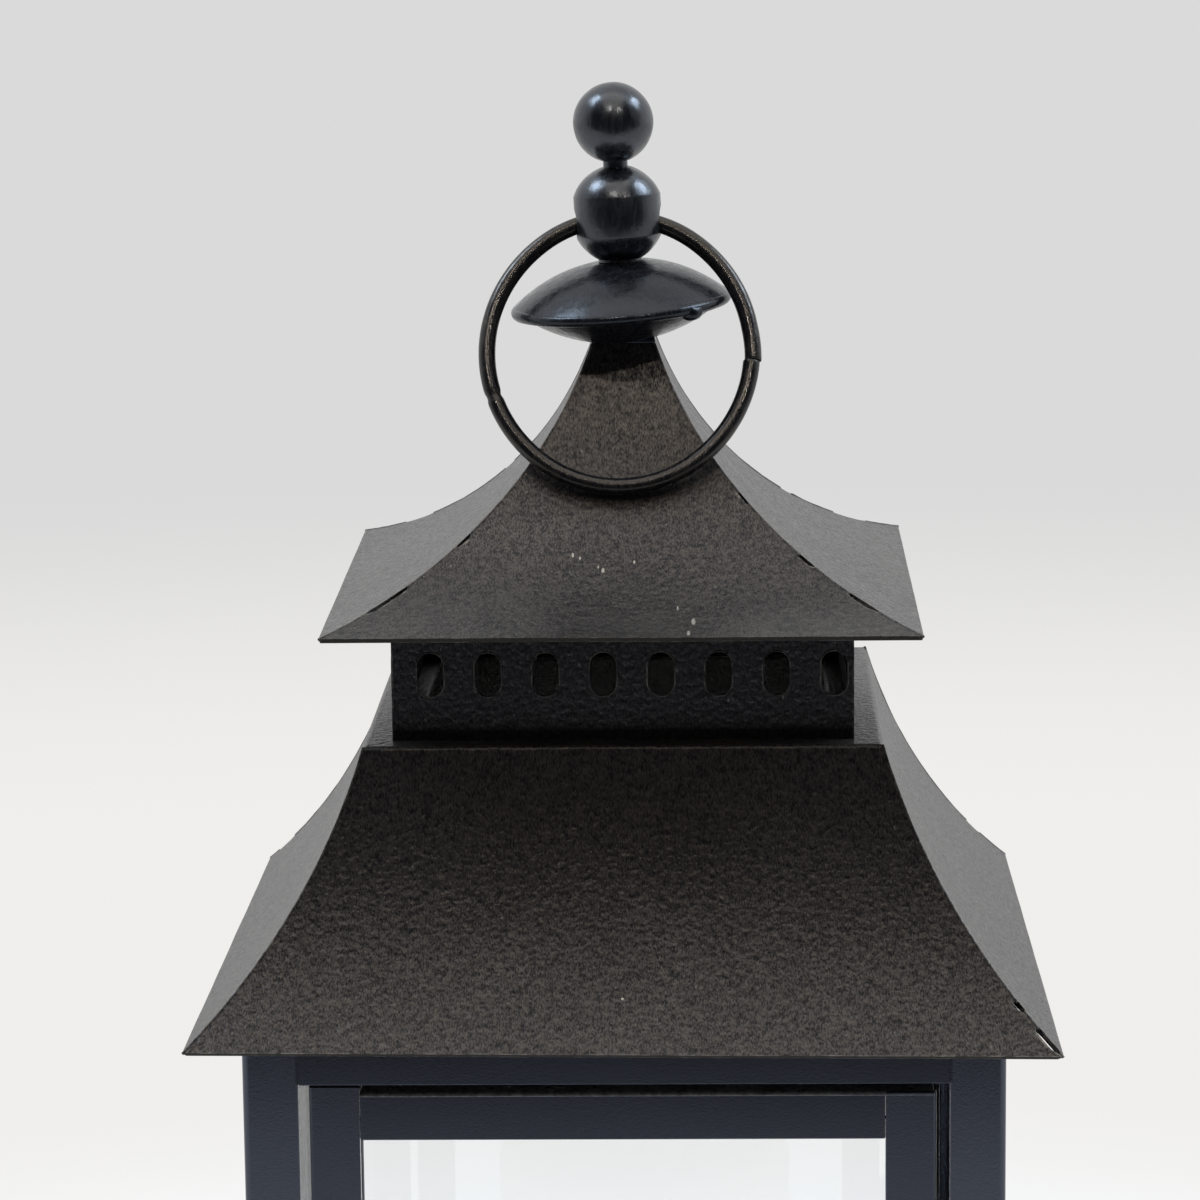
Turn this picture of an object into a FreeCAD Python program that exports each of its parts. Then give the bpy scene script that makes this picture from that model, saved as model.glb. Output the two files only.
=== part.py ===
"""Hanging candle lantern: glazed body, hinged door, two-tier concave roof, finial and wire ring.

Millimetres. +Z is up, the origin is the centre of the foot, the door is on the -Y side.
"""
import FreeCAD
import Part
import math
import os

from FreeCAD import Vector

# Stock and clearances
sheet = 0.8                  # folded steel of roof, walls and base
thin_sheet = 0.6             # clips, tabs, saucer shells and candle cup
glass = 2.0                  # pane thickness
seam_gap = 0.1               # open line between two mitred panels
glass_gap = 0.1              # room between a clip and its pane
moving_gap = 0.3             # room beside a piece that moves
pin_play = 0.05              # radial play of a turning pin
hole_play = 0.15             # radial play of a fastener in a punched hole

# Base
base_height = 14.0
base_margin = 3.5            # the floor's edge, outside the walls
base_flare = 3.0             # the foot's edge, outside the floor
foot_width = 7.0

# Body
body_half = 62.5
wall_height = 154.0          # base plate to the eave of the lower roof
post_leg = 9.2
post_bend = 1.2              # outer radius of the post's fold
top_rail_height = 14.9       # opening to the underside of the roof
bottom_rail_height = 8.0
floor_flange = 10.0          # width of the bottom rail's foot on the base plate

# Lower roof
eave_overhang = 8.6          # the eave's edge, outside the walls
lower_rise = 45.5            # eave to ledge
lower_sag = 3.6              # how far the panel bows in from a straight line
ledge_half = 43.2
ledge_land = 3.0             # what the ledge reaches inside the vent walls
ledge_bend = 1.2

# Vent walls
collar_half = 38.5
vent_count = 8
vent_width = 4.6
vent_height = 7.6
vent_pitch = 9.6
vent_shift = 1.6             # the row stands off centre, towards the right end of each side
vent_rise = 11.2             # ledge to the middle of a vent

# Upper roof
upper_eave_half = 49.5
upper_eave_rise = 20.3       # ledge to the upper eave
upper_rise = 42.2            # upper eave to the neck
upper_sag = 7.3
neck_half = 5.5

# Slits left open in the hips: distance in from the eave and length, for each hip in turn from the
# front right corner, counter-clockwise seen from above
slit_width = 0.8
upper_slits = [
    [(8.5, 7.4), (17.9, 3.2), (28.9, 2.4)],
    [(9.3, 9.0), (21.1, 3.0)],
    [(10.9, 8.0), (28.5, 2.6)],
    [(9.7, 10.5), (22.2, 2.4)],
]
lower_slits = [
    [(4.1, 5.8)],
    [(6.6, 4.0)],
    [(3.7, 5.0)],
    [],
]

# Tabs that weld a wall to the roof above it
tab_width = 8.0
tab_foot = 6.0
tab_reach = 5.0
tab_spread = 16.0            # middle of the side to each tab

# Finial
cap_thickness = 0.8
stud_radius = 2.0
stud_grip = 3.4              # depth of the stud in the bead
stud_tail = 1.5              # what shows under the nut
nut_flats = 7.0
nut_height = 3.2
nut_flange_radius = 4.2
nut_flange = 0.8
saucer_radius = 19.1
saucer_lip = 0.75            # radius of the rolled rim
saucer_depth = 5.2           # neck cap to the rim
saucer_dome = 8.1            # rim to the top of the dome
saucer_seat_radius = 4.5     # flat on top of the dome
bead_radius = 8.0            # rounded ends
bead_waist_radius = 7.5      # straight band
bead_band = 1.0              # how far apart the two rounded ends are
bead_foot_radius = 3.7
bead_foot_height = 7.55      # saucer to the centre of the lower rounded end
bore_rise = 6.65             # saucer to the ring's bore
ball_radius = 6.9
ball_neck_radius = 2.1
ball_rise = 7.5              # bead's top to the ball's centre
spigot_radius = 1.6
spigot_depth = 4.5

# Hanging ring, measured to the middle of the wire
ring_wire_radius = 1.45
ring_width = 45.2
ring_height = 48.4
ring_end_radius = 21.0

# Door
door_thickness = 1.6         # sheet hemmed back on itself
door_hem = 0.6               # rounding of the folded edges
door_gap_latch = 1.7
door_gap_hinge = 2.2
door_gap_top = 1.3
door_gap_bottom = 1.3
door_stile = 8.3
door_rail = 8.0
door_glass_lap = 3.0         # how far the pane reaches behind the frame

# Hinges
knuckle_radius = 1.6
hinge_pin_radius = 0.8
hinge_length = 18.0
hinge_middle = 6.4           # length of the door's knuckle
hinge_leaf = 7.0             # axis to the leaf's edge
hinge_inset = 33.0           # door's end to the middle of the hinge
pin_head = 0.7
pin_head_radius = 1.4

# Latch
latch_inset = 2.4            # door's edge to the spindle
spindle_radius = 1.25
latch_ball_radius = 3.0
latch_stem_radius = 1.5
latch_proud = 8.0            # door's face to the knob's tip
latch_collar_radius = 2.5
latch_collar = 0.8
tongue_length = 9.0
tongue_half_width = 1.9
tongue_thickness = 1.2
peen_height = 0.5
peen_radius = 1.7

# Pane clips
clip_width = 8.0
clip_foot = 5.0
clip_lip = 4.0
clip_spread = 30.0
door_clip_foot = 3.0
door_clip_rise = 40.0        # middle of the door to each clip
pane_lap = 5.0               # how far a fixed pane reaches behind the posts
pane_top_lap = 6.0

# Rivets
rivet_radius = 1.2
rivet_head_radius = 2.2
rivet_head = 0.8
rivet_edge = 2.8             # flange's free edge to the rivet

# Candle
cup_radius = 35.0
cup_height = 8.0
cup_rivet_radius = 2.0
cup_rivet_head_radius = 3.5
candle_radius = 30.0
candle_height = 80.0
candle_round = 2.5
candle_recess_radius = 8.0
candle_recess = 1.6
candle_dish = 2.0            # depth of the melted pool
candle_rim = 4.0             # width of the rim round the pool
wick_radius = 1.0
wick_height = 10.0
wick_depth = 6.0

# Widths and heights of the storeys, the widths halved
base_top_half = body_half + base_margin
base_foot_half = base_top_half + base_flare
lower_eave_half = body_half + eave_overhang
eave_z = base_height + wall_height
ledge_z = eave_z + lower_rise
upper_eave_z = ledge_z + upper_eave_rise
neck_z = upper_eave_z + upper_rise


class RoofCurve:
    """Concave arc of a roof panel, in the distance from the axis and the height."""

    def __init__(self, eave_half, eave_height, top_half, top_height, sag):
        run = top_half - eave_half
        rise = top_height - eave_height
        chord = math.hypot(run, rise)
        self.eave_half = eave_half
        self.eave_height = eave_height
        self.radius = (chord ** 2 / 4 + sag ** 2) / (2 * sag)
        self.middle_half = (eave_half + top_half) / 2 + rise / chord * (self.radius - sag)
        self.middle_z = (eave_height + top_height) / 2 - run / chord * (self.radius - sag)

    def height(self, half, depth=0.0):
        """Height of the face that lies depth below the outer one."""
        radius = self.radius + depth
        return self.middle_z - math.sqrt(radius ** 2 - (half - self.middle_half) ** 2)

    def half(self, height, depth=0.0):
        """Distance from the axis of the face that lies depth below the outer one."""
        radius = self.radius + depth
        return self.middle_half - math.sqrt(radius ** 2 - (height - self.middle_z) ** 2)

    def eave_inside(self, depth):
        """Eave point of the inner face, square across the sheet."""
        scale = (self.radius + depth) / self.radius
        half = self.middle_half + (self.eave_half - self.middle_half) * scale
        height = self.middle_z + (self.eave_height - self.middle_z) * scale
        return half, height

    def arc(self, half_a, half_b, depth=0.0):
        """Edge along the curve between two distances from the axis."""
        halves = [half_a, (half_a + half_b) / 2, half_b]
        points = [front_point(half, self.height(half, depth)) for half in halves]
        return Part.Arc(*points).toShape()

    def clear_distance(self, half, height):
        """Distance of a point above the outer face."""
        return self.radius - math.hypot(half - self.middle_half, height - self.middle_z)


# Places that follow from the sizes
lower_curve = RoofCurve(lower_eave_half, eave_z, ledge_half, ledge_z, lower_sag)
upper_curve = RoofCurve(upper_eave_half, upper_eave_z, neck_half, neck_z, upper_sag)
wall_top_z = lower_curve.height(body_half, sheet)
collar_top_z = upper_curve.height(collar_half, sheet)
plate_bottom_z = base_height - sheet
cap_top_z = neck_z + cap_thickness
rim_z = cap_top_z + saucer_depth
wall_inner = body_half - sheet
opening_half = body_half - post_leg
opening_top_z = wall_top_z - top_rail_height
opening_bottom_z = base_height + bottom_rail_height
flange_top_z = base_height + sheet
rivet_half = wall_inner - floor_flange + rivet_edge
door_left = -(opening_half - door_gap_latch)
door_right = opening_half - door_gap_hinge
door_top_z = opening_top_z - door_gap_top
door_bottom_z = opening_bottom_z + door_gap_bottom
door_back = body_half - door_thickness
door_middle_z = (door_top_z + door_bottom_z) / 2
hinge_x = opening_half - door_gap_hinge / 2
hinge_y = -(body_half + knuckle_radius)
latch_x = door_left + latch_inset
far = 4 * lower_eave_half    # longer than the lantern is wide, for cutters
sides = ["front", "right", "back", "left"]


def front_point(half, height):
    """Point in the middle of the front side."""
    return Vector(0, -half, height)


def block(x_low, x_high, y_low, y_high, z_low, z_high):
    """Box between two corners."""
    corner = Vector(x_low, y_low, z_low)
    return Part.makeBox(x_high - x_low, y_high - y_low, z_high - z_low, corner)


def plate(points, along):
    """Flat polygon through the points, drawn out along a vector."""
    outline = Part.makePolygon(points + [points[0]])
    return Part.Face(outline).extrude(along)


def rod(radius, x, y, z_low, z_high):
    """Upright cylinder."""
    return Part.makeCylinder(radius, z_high - z_low, Vector(x, y, z_low))


def on_side(shape, index):
    """Copy of a front piece, turned to another side."""
    copy = shape.copy()
    copy.rotate(Vector(0, 0, 0), Vector(0, 0, 1), 90 * index)
    return copy


def moved(shape, x=0.0, y=0.0, z=0.0):
    """Copy of a shape at another place."""
    copy = shape.copy()
    copy.translate(Vector(x, y, z))
    return copy


def group(shapes):
    """Separate solids that share one node."""
    return Part.makeCompound(shapes)


def mitre_wedge():
    """Quarter of space in front of the axis, a little inside the two 45 degree planes."""
    back = seam_gap / math.sqrt(2)
    corners = [Vector(0, -back, -far), Vector(-far, -far - back, -far), Vector(far, -far - back, -far)]
    return plate(corners, Vector(0, 0, 3 * far))


def mitred(edges):
    """Panel with the given section, cut at both hips."""
    section = Part.Face(Part.Wire(Part.__sortEdges__(edges)))
    section.translate(Vector(-far / 2, 0, 0))
    return section.extrude(Vector(far, 0, 0)).common(mitre_wedge())


def slit_cutters(curve, slits, hand):
    """Upright blocks that open the hip on one hand of the front panel."""
    cutters = []
    for inset, length in slits:
        half = curve.eave_half - inset
        height = length + 2 * sheet
        cutter = block(-length / 2, length / 2, -slit_width / 2, slit_width / 2, -height, height)
        cutter.rotate(Vector(0, 0, 0), Vector(0, 0, 1), -45 * hand)
        cutters.append(moved(cutter, hand * half, -half, curve.height(half)))
    return cutters


def with_slits(panel, curve, slits, index):
    """Panel with the slits of its own two hips, on its own side of the lantern."""
    cutters = slit_cutters(curve, slits[index], 1)
    cutters += slit_cutters(curve, slits[index - 1], -1)
    if cutters:
        panel = panel.cut(cutters)
    return on_side(panel, index)


def lower_roof_panel():
    """Concave panel whose top folds in to the ledge."""
    ledge_inner = collar_half - sheet - ledge_land
    fold_half = lower_curve.half(ledge_z - sheet, sheet)
    inside_half, inside_z = lower_curve.eave_inside(sheet)
    outer_fold = front_point(ledge_half, ledge_z)
    edges = [
        lower_curve.arc(lower_eave_half, ledge_half),
        Part.makeLine(outer_fold, front_point(ledge_inner, ledge_z)),
        Part.makeLine(front_point(ledge_inner, ledge_z), front_point(ledge_inner, ledge_z - sheet)),
        Part.makeLine(front_point(ledge_inner, ledge_z - sheet), front_point(fold_half, ledge_z - sheet)),
        lower_curve.arc(fold_half, inside_half, sheet),
        Part.makeLine(front_point(inside_half, inside_z), front_point(lower_eave_half, eave_z)),
    ]
    panel = mitred(edges)
    fold = [edge for edge in panel.Edges if lies_along(edge, ledge_half, ledge_z)]
    return panel.makeFillet(ledge_bend, fold)


def lies_along(edge, half, height):
    """Whether an edge runs along the front side at a distance from the axis and a height."""
    ends = [vertex.Point for vertex in edge.Vertexes]
    return all(abs(end.y + half) < seam_gap / 2 and abs(end.z - height) < seam_gap / 2 for end in ends)


def upper_roof_panel():
    """Concave panel of the upper roof, cut level at the neck."""
    neck_inner = upper_curve.half(neck_z, sheet)
    inside_half, inside_z = upper_curve.eave_inside(sheet)
    edges = [
        upper_curve.arc(upper_eave_half, neck_half),
        Part.makeLine(front_point(neck_half, neck_z), front_point(neck_inner, neck_z)),
        upper_curve.arc(neck_inner, inside_half, sheet),
        Part.makeLine(front_point(inside_half, inside_z), front_point(upper_eave_half, upper_eave_z)),
    ]
    return mitred(edges)


def vent_cutter(x, z):
    """Upright slot with round ends, through the front vent wall."""
    radius = vent_width / 2
    straight = (vent_height - vent_width) / 2
    start_y = -collar_half - sheet
    cutter = block(x - radius, x + radius, start_y, start_y + 3 * sheet, z - straight, z + straight)
    for end_z in (z - straight, z + straight):
        end = Part.makeCylinder(radius, 3 * sheet, Vector(x, start_y, end_z), Vector(0, 1, 0))
        cutter = cutter.fuse(end)
    return cutter


def vent_wall():
    """Upright wall between the two roofs, with a row of vents."""
    inner = collar_half - sheet
    wall = block(-collar_half, collar_half, -collar_half, -inner, ledge_z, collar_top_z)
    wall = wall.common(mitre_wedge())
    middle = (vent_count - 1) / 2
    places = [(index - middle) * vent_pitch + vent_shift for index in range(vent_count)]
    return wall.cut([vent_cutter(x, ledge_z + vent_rise) for x in places])


def roof_tab(curve, wall_half):
    """Bent tab from a wall's inner face to the underside of the roof."""
    face = wall_half - sheet
    below = sheet + glass_gap
    root_z = curve.height(face, below)
    tip_half = face - tab_reach
    tip_z = curve.height(tip_half, below)
    slope = math.hypot(tab_reach, tip_z - root_z)
    drop = thin_sheet * slope / tab_reach
    inner_root_z = root_z - drop + thin_sheet * (tip_z - root_z) / tab_reach
    points = [
        front_point(face, root_z - tab_foot),
        front_point(face, root_z),
        front_point(tip_half, tip_z),
        front_point(tip_half, tip_z - drop),
        front_point(face - thin_sheet, inner_root_z),
        front_point(face - thin_sheet, root_z - tab_foot),
    ]
    return moved(plate(points, Vector(tab_width, 0, 0)), -tab_width / 2)


def roof_tabs():
    """Two tabs on every side, under both roofs."""
    tabs = []
    for curve, wall_half in ((lower_curve, body_half), (upper_curve, collar_half)):
        tab = roof_tab(curve, wall_half)
        for index in range(len(sides)):
            for hand in (-1, 1):
                tabs.append(on_side(moved(tab, hand * tab_spread), index))
    return group(tabs)


def corner_post():
    """Folded angle at the front left corner, from the base plate to the roof."""
    outer = -body_half
    inner = outer + sheet
    end = outer + post_leg
    points = [(outer, outer), (end, outer), (end, inner), (inner, inner), (inner, end), (outer, end)]
    corners = [Vector(x, y, base_height) for x, y in points]
    post = plate(corners, Vector(0, 0, wall_top_z - base_height))
    fold = [edge for edge in post.Edges if is_upright_at(edge, outer, outer)]
    return post.makeFillet(post_bend, fold)


def is_upright_at(edge, x, y):
    """Whether an edge stands upright at a place in plan."""
    ends = [vertex.Point for vertex in edge.Vertexes]
    return all(abs(end.x - x) < seam_gap and abs(end.y - y) < seam_gap for end in ends)


def top_rail():
    """Strip between two posts, from the opening up to the roof."""
    half = opening_half - seam_gap / 2
    return block(-half, half, -body_half, -wall_inner, opening_top_z, wall_top_z)


def rivet_hole(low_z, high_z, x):
    """Cutter for a rivet of the front side."""
    return rod(rivet_radius + hole_play, x, -rivet_half, low_z, high_z)


def bottom_rail():
    """Angle between two posts, with its foot on the base plate."""
    half = opening_half - seam_gap / 2
    foot_half = wall_inner - floor_flange - seam_gap
    web = block(-half, half, -body_half, -wall_inner, base_height, opening_bottom_z)
    foot = block(-foot_half, foot_half, -wall_inner, -wall_inner + floor_flange, base_height, flange_top_z)
    holes = [rivet_hole(base_height - sheet, flange_top_z + sheet, hand * clip_spread) for hand in (-1, 1)]
    return web.fuse(foot).removeSplitter().cut(holes)


def glass_pane():
    """Fixed pane, standing on the rail's foot behind the posts."""
    half = opening_half + pane_lap
    return block(-half, half, -wall_inner, -wall_inner + glass, flange_top_z, opening_top_z + pane_top_lap)


def upper_clip():
    """Stepped clip from the top rail down over the pane's upper edge."""
    pane_top = opening_top_z + pane_top_lap
    step_z = pane_top + glass_gap
    reach = glass + glass_gap
    low_z = pane_top - clip_lip
    points = [
        front_point(wall_inner, step_z + thin_sheet + clip_foot),
        front_point(wall_inner - thin_sheet, step_z + thin_sheet + clip_foot),
        front_point(wall_inner - thin_sheet, step_z + thin_sheet),
        front_point(wall_inner - reach - thin_sheet, step_z + thin_sheet),
        front_point(wall_inner - reach - thin_sheet, low_z),
        front_point(wall_inner - reach, low_z),
        front_point(wall_inner - reach, step_z),
        front_point(wall_inner, step_z),
    ]
    return moved(plate(points, Vector(clip_width, 0, 0)), -clip_width / 2)


def lower_clip():
    """Angle clip riveted down behind the pane's foot."""
    front = wall_inner - glass - glass_gap
    back = wall_inner - floor_flange
    top_z = flange_top_z + thin_sheet
    half = clip_width / 2
    leg = block(-half, half, -front, -front + thin_sheet, flange_top_z, top_z + clip_foot)
    foot = block(-half, half, -front, -back, flange_top_z, top_z)
    return leg.fuse(foot).removeSplitter().cut(rivet_hole(flange_top_z - sheet, top_z + sheet, 0))


def pane_clips(clip):
    """Two clips for each fixed pane."""
    clips = []
    for index in (1, 2, 3):
        for hand in (-1, 1):
            clips.append(on_side(moved(clip, hand * clip_spread), index))
    return group(clips)


def rivet(shank_radius, head_radius, low_z, high_z):
    """Rivet on the Z axis that clamps a stack between two heights."""
    shank = rod(shank_radius, 0, 0, low_z, high_z)
    lower = rod(head_radius, 0, 0, low_z - rivet_head, low_z)
    upper = rod(head_radius, 0, 0, high_z, high_z + rivet_head)
    return shank.fuse([lower, upper]).removeSplitter()


def base_rivets():
    """Rivets through the base plate, the rails' feet and the pane clips."""
    rivets = []
    for index in range(len(sides)):
        stack_top = flange_top_z + (thin_sheet if index else 0)
        one = moved(rivet(rivet_radius, rivet_head_radius, plate_bottom_z, stack_top), 0, -rivet_half)
        for hand in (-1, 1):
            rivets.append(on_side(moved(one, hand * clip_spread), index))
    return group(rivets)


def base_plate():
    """Flat square floor, with its rivet holes."""
    half = base_top_half
    floor = block(-half, half, -half, half, plate_bottom_z, base_height)
    low_z = plate_bottom_z - sheet
    high_z = base_height + sheet
    holes = [rod(cup_rivet_radius + hole_play, 0, 0, low_z, high_z)]
    for index in range(len(sides)):
        for hand in (-1, 1):
            holes.append(on_side(rivet_hole(low_z, high_z, hand * clip_spread), index))
    return floor.cut(holes)


def base_skirt():
    """Sloping skirt under the floor's edge, turned in to a foot."""
    lean = (base_foot_half - base_top_half) / plate_bottom_z
    wall = sheet * math.hypot(1, lean)
    points = [
        (base_top_half, plate_bottom_z),
        (base_foot_half, 0),
        (base_foot_half - foot_width, 0),
        (base_foot_half - foot_width, sheet),
        (base_foot_half - lean * sheet - wall, sheet),
        (base_top_half - wall, plate_bottom_z),
    ]
    corners = [front_point(half, height) for half, height in points]
    closed = corners + [corners[0]]
    return mitred([Part.makeLine(closed[i], closed[i + 1]) for i in range(len(corners))])


def candle_cup():
    """Round tin cup on the floor."""
    outer = rod(cup_radius, 0, 0, base_height, base_height + cup_height)
    floor_z = base_height + thin_sheet
    inner = rod(cup_radius - thin_sheet, 0, 0, floor_z, base_height + cup_height + sheet)
    hole = rod(cup_rivet_radius + hole_play, 0, 0, base_height - sheet, floor_z + sheet)
    return outer.cut([inner, hole])


def candle():
    """Pillar candle with a hollow foot, a melted pool and a hole for the wick."""
    foot_z = base_height + thin_sheet
    top_z = foot_z + candle_height
    body = rod(candle_radius, 0, 0, foot_z, top_z)
    middle_z = (foot_z + top_z) / 2
    top_edges = [edge for edge in body.Edges if edge.Closed and edge.CenterOfMass.z > middle_z]
    body = body.makeFillet(candle_round, top_edges)
    recess = rod(candle_recess_radius, 0, 0, foot_z - sheet, foot_z + candle_recess)
    pool_radius = candle_radius - candle_rim
    ball = (pool_radius ** 2 + candle_dish ** 2) / (2 * candle_dish)
    pool = Part.makeSphere(ball, Vector(0, 0, top_z - candle_dish + ball))
    hole_z = top_z - candle_dish - wick_depth
    hole = rod(wick_radius, 0, 0, hole_z, top_z)
    return body.cut([recess, pool, hole])


def candle_wick():
    """Wick standing in the candle."""
    pool_z = base_height + thin_sheet + candle_height - candle_dish
    return rod(wick_radius, 0, 0, pool_z - wick_depth, pool_z + wick_height)


def neck_cap():
    """Square plate on the neck of the upper roof."""
    cap = block(-neck_half, neck_half, -neck_half, neck_half, neck_z, cap_top_z)
    return cap.cut(rod(stud_radius + hole_play, 0, 0, neck_z - sheet, cap_top_z + sheet))


def dome_radius(rise):
    """Radius of a spherical cap as wide as the saucer."""
    return (saucer_radius ** 2 + rise ** 2) / (2 * rise)


saucer_ball = dome_radius(saucer_dome)
seat_z = rim_z + saucer_dome - saucer_ball + math.sqrt(saucer_ball ** 2 - saucer_seat_radius ** 2)


def saucer_upper():
    """Upper shell: a shallow dome with a flat seat for the bead."""
    middle = Vector(0, 0, rim_z + saucer_dome - saucer_ball)
    outer = Part.makeSphere(saucer_ball, middle)
    inner = Part.makeSphere(saucer_ball - thin_sheet, middle)
    seat = rod(saucer_radius, 0, 0, rim_z, seat_z)
    under = rod(saucer_seat_radius, 0, 0, seat_z - thin_sheet, seat_z)
    hole = rod(stud_radius + hole_play, 0, 0, rim_z, seat_z + sheet)
    return outer.common(seat).cut(inner).fuse(under).removeSplitter().cut(hole)


def saucer_lower():
    """Lower shell: a shallow bowl with a rolled rim."""
    lip_z = rim_z - saucer_lip
    ball = dome_radius(saucer_depth)
    middle = Vector(0, 0, cap_top_z + ball)
    outer = Part.makeSphere(ball, middle)
    inner = Part.makeSphere(ball - thin_sheet, middle)
    below = rod(saucer_radius - saucer_lip, 0, 0, cap_top_z, lip_z)
    rim = Part.makeTorus(saucer_radius - saucer_lip, saucer_lip, Vector(0, 0, lip_z))
    floor = rod(stud_radius * 2, 0, 0, cap_top_z, cap_top_z + thin_sheet)
    hole = rod(stud_radius + hole_play, 0, 0, cap_top_z - sheet, cap_top_z + saucer_depth)
    return outer.common(below).cut(inner).fuse([rim, floor]).removeSplitter().cut(hole)


def stud_nut():
    """Flanged hexagon nut under the neck cap."""
    corner = nut_flats / math.sqrt(3)
    low_z = neck_z - nut_flange - nut_height
    angles = [math.radians(60 * index) for index in range(6)]
    corners = [Vector(corner * math.cos(turn), corner * math.sin(turn), low_z) for turn in angles]
    hexagon = plate(corners, Vector(0, 0, nut_height))
    flange = rod(nut_flange_radius, 0, 0, neck_z - nut_flange, neck_z)
    return hexagon.fuse(flange).removeSplitter().cut(rod(stud_radius, 0, 0, low_z - sheet, neck_z))


def finial_stud():
    """Stud from the nut, through the saucer, into the bead."""
    return rod(stud_radius, 0, 0, neck_z - nut_flange - nut_height - stud_tail, seat_z + stud_grip)


low_end_z = seat_z + bead_foot_height
high_end_z = low_end_z + bead_band
bore_z = seat_z + bore_rise
bead_top_z = high_end_z + math.sqrt(bead_radius ** 2 - ball_neck_radius ** 2)
ball_z = bead_top_z + ball_rise
bow = ring_end_radius - math.sqrt(ring_end_radius ** 2 - bead_waist_radius ** 2)
bore_radius = ring_wire_radius + bow / 2 + moving_gap


def finial_bead():
    """Drum with rounded ends, a cross bore for the ring and a hole at each end."""
    waist = rod(bead_waist_radius, 0, 0, seat_z, bead_top_z)
    low = Part.makeSphere(bead_radius, Vector(0, 0, low_end_z))
    high = Part.makeSphere(bead_radius, Vector(0, 0, high_end_z))
    band = rod(bead_radius, 0, 0, low_end_z, high_end_z)
    foot = rod(bead_foot_radius, 0, 0, seat_z, low_end_z)
    body = low.fuse([high, band]).common(waist).fuse(foot).removeSplitter()
    start = Vector(-2 * bead_radius, 0, bore_z)
    bore = Part.makeCylinder(bore_radius, 4 * bead_radius, start, Vector(1, 0, 0))
    stud_hole = rod(stud_radius, 0, 0, seat_z - sheet, seat_z + stud_grip)
    spigot_hole = rod(spigot_radius, 0, 0, bead_top_z - spigot_depth, bead_top_z + sheet)
    return body.cut([bore, stud_hole, spigot_hole])


def finial_ball():
    """Ball with a short neck and a spigot in the bead."""
    ball = Part.makeSphere(ball_radius, Vector(0, 0, ball_z))
    neck = rod(ball_neck_radius, 0, 0, bead_top_z, ball_z)
    spigot = rod(spigot_radius, 0, 0, bead_top_z - spigot_depth, bead_top_z)
    return ball.fuse([neck, spigot]).removeSplitter()


def ring_lean():
    """Angle from straight down at which the ring lies on the front of the upper roof."""
    reach = ring_height - bow / 2
    wanted = ring_wire_radius + moving_gap
    low = 0.0
    high = math.pi / 2
    while high - low > 1e-6:
        lean = (low + high) / 2
        if upper_curve.clear_distance(reach * math.sin(lean), bore_z - reach * math.cos(lean)) < wanted:
            low = lean
        else:
            high = lean
    return math.degrees(high)


def ring_path():
    """Oval of four tangent arcs in the XZ plane, hung with the wire centred in the bore."""
    half_width = ring_width / 2
    half_height = ring_height / 2
    middle_z = bow / 2 - half_height
    offset = half_height - ring_end_radius
    spare = half_width - ring_end_radius
    inset = (offset ** 2 - spare ** 2) / (2 * spare)
    side_radius = half_width + inset
    meet = math.atan2(offset, inset)
    side_x = side_radius * math.cos(meet) - inset
    side_z = side_radius * math.sin(meet)
    ends = {
        "right": [(side_x, -side_z), (half_width, 0), (side_x, side_z)],
        "top": [(side_x, side_z), (0, half_height), (-side_x, side_z)],
        "left": [(-side_x, side_z), (-half_width, 0), (-side_x, -side_z)],
        "bottom": [(-side_x, -side_z), (0, -half_height), (side_x, -side_z)],
    }
    arcs = []
    for points in ends.values():
        arcs.append(Part.Arc(*[Vector(x, 0, z + middle_z) for x, z in points]).toShape())
    return Part.Wire(arcs)


def hanging_ring():
    """Wire ring through the bead, leaning on the front of the upper roof."""
    path = ring_path()
    start = path.Edges[0]
    along = start.tangentAt(start.FirstParameter)
    wire = Part.Wire(Part.makeCircle(ring_wire_radius, start.valueAt(start.FirstParameter), along))
    ring = path.makePipeShell([wire], True, False)
    ring.rotate(Vector(0, 0, 0), Vector(1, 0, 0), -ring_lean())
    return moved(ring, 0, 0, bore_z)


def rounded_strip(strip, keep):
    """Door strip with its folded front and back edges rounded, where keep says so."""
    edges = [edge for edge in strip.Edges if keep(edge.CenterOfMass)]
    return strip.makeFillet(door_hem, edges)


def door_stile_latch():
    """Free stile, with the hole for the latch spindle."""
    strip = block(door_left, door_left + door_stile, -body_half, -door_back, door_bottom_z, door_top_z)
    strip = rounded_strip(strip, lambda point: abs(point.x - door_left) < seam_gap and on_door_face(point))
    start = Vector(latch_x, -body_half - sheet, door_middle_z)
    hole = Part.makeCylinder(spindle_radius + pin_play, 4 * sheet, start, Vector(0, 1, 0))
    return strip.cut(hole)


def on_door_face(point):
    """Whether a point lies on the door's front or back face, half way up a stile."""
    on_face = min(abs(point.y + body_half), abs(point.y + door_back)) < seam_gap
    return on_face and abs(point.z - door_middle_z) < seam_gap


def door_stile_hinge():
    """Hinged stile."""
    strip = block(door_right - door_stile, door_right, -body_half, -door_back, door_bottom_z, door_top_z)
    return rounded_strip(strip, lambda point: abs(point.x - door_right) < seam_gap and on_door_face(point))


def door_rail_strip(low_z, folded_z):
    """Rail between the stiles, with its fold at one height."""
    left = door_left + door_stile + seam_gap / 2
    right = door_right - door_stile - seam_gap / 2
    strip = block(left, right, -body_half, -door_back, low_z, low_z + door_rail)
    middle = (left + right) / 2
    return rounded_strip(
        strip,
        lambda point: abs(point.z - folded_z) < seam_gap and abs(point.x - middle) < seam_gap
        and min(abs(point.y + body_half), abs(point.y + door_back)) < seam_gap,
    )


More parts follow.
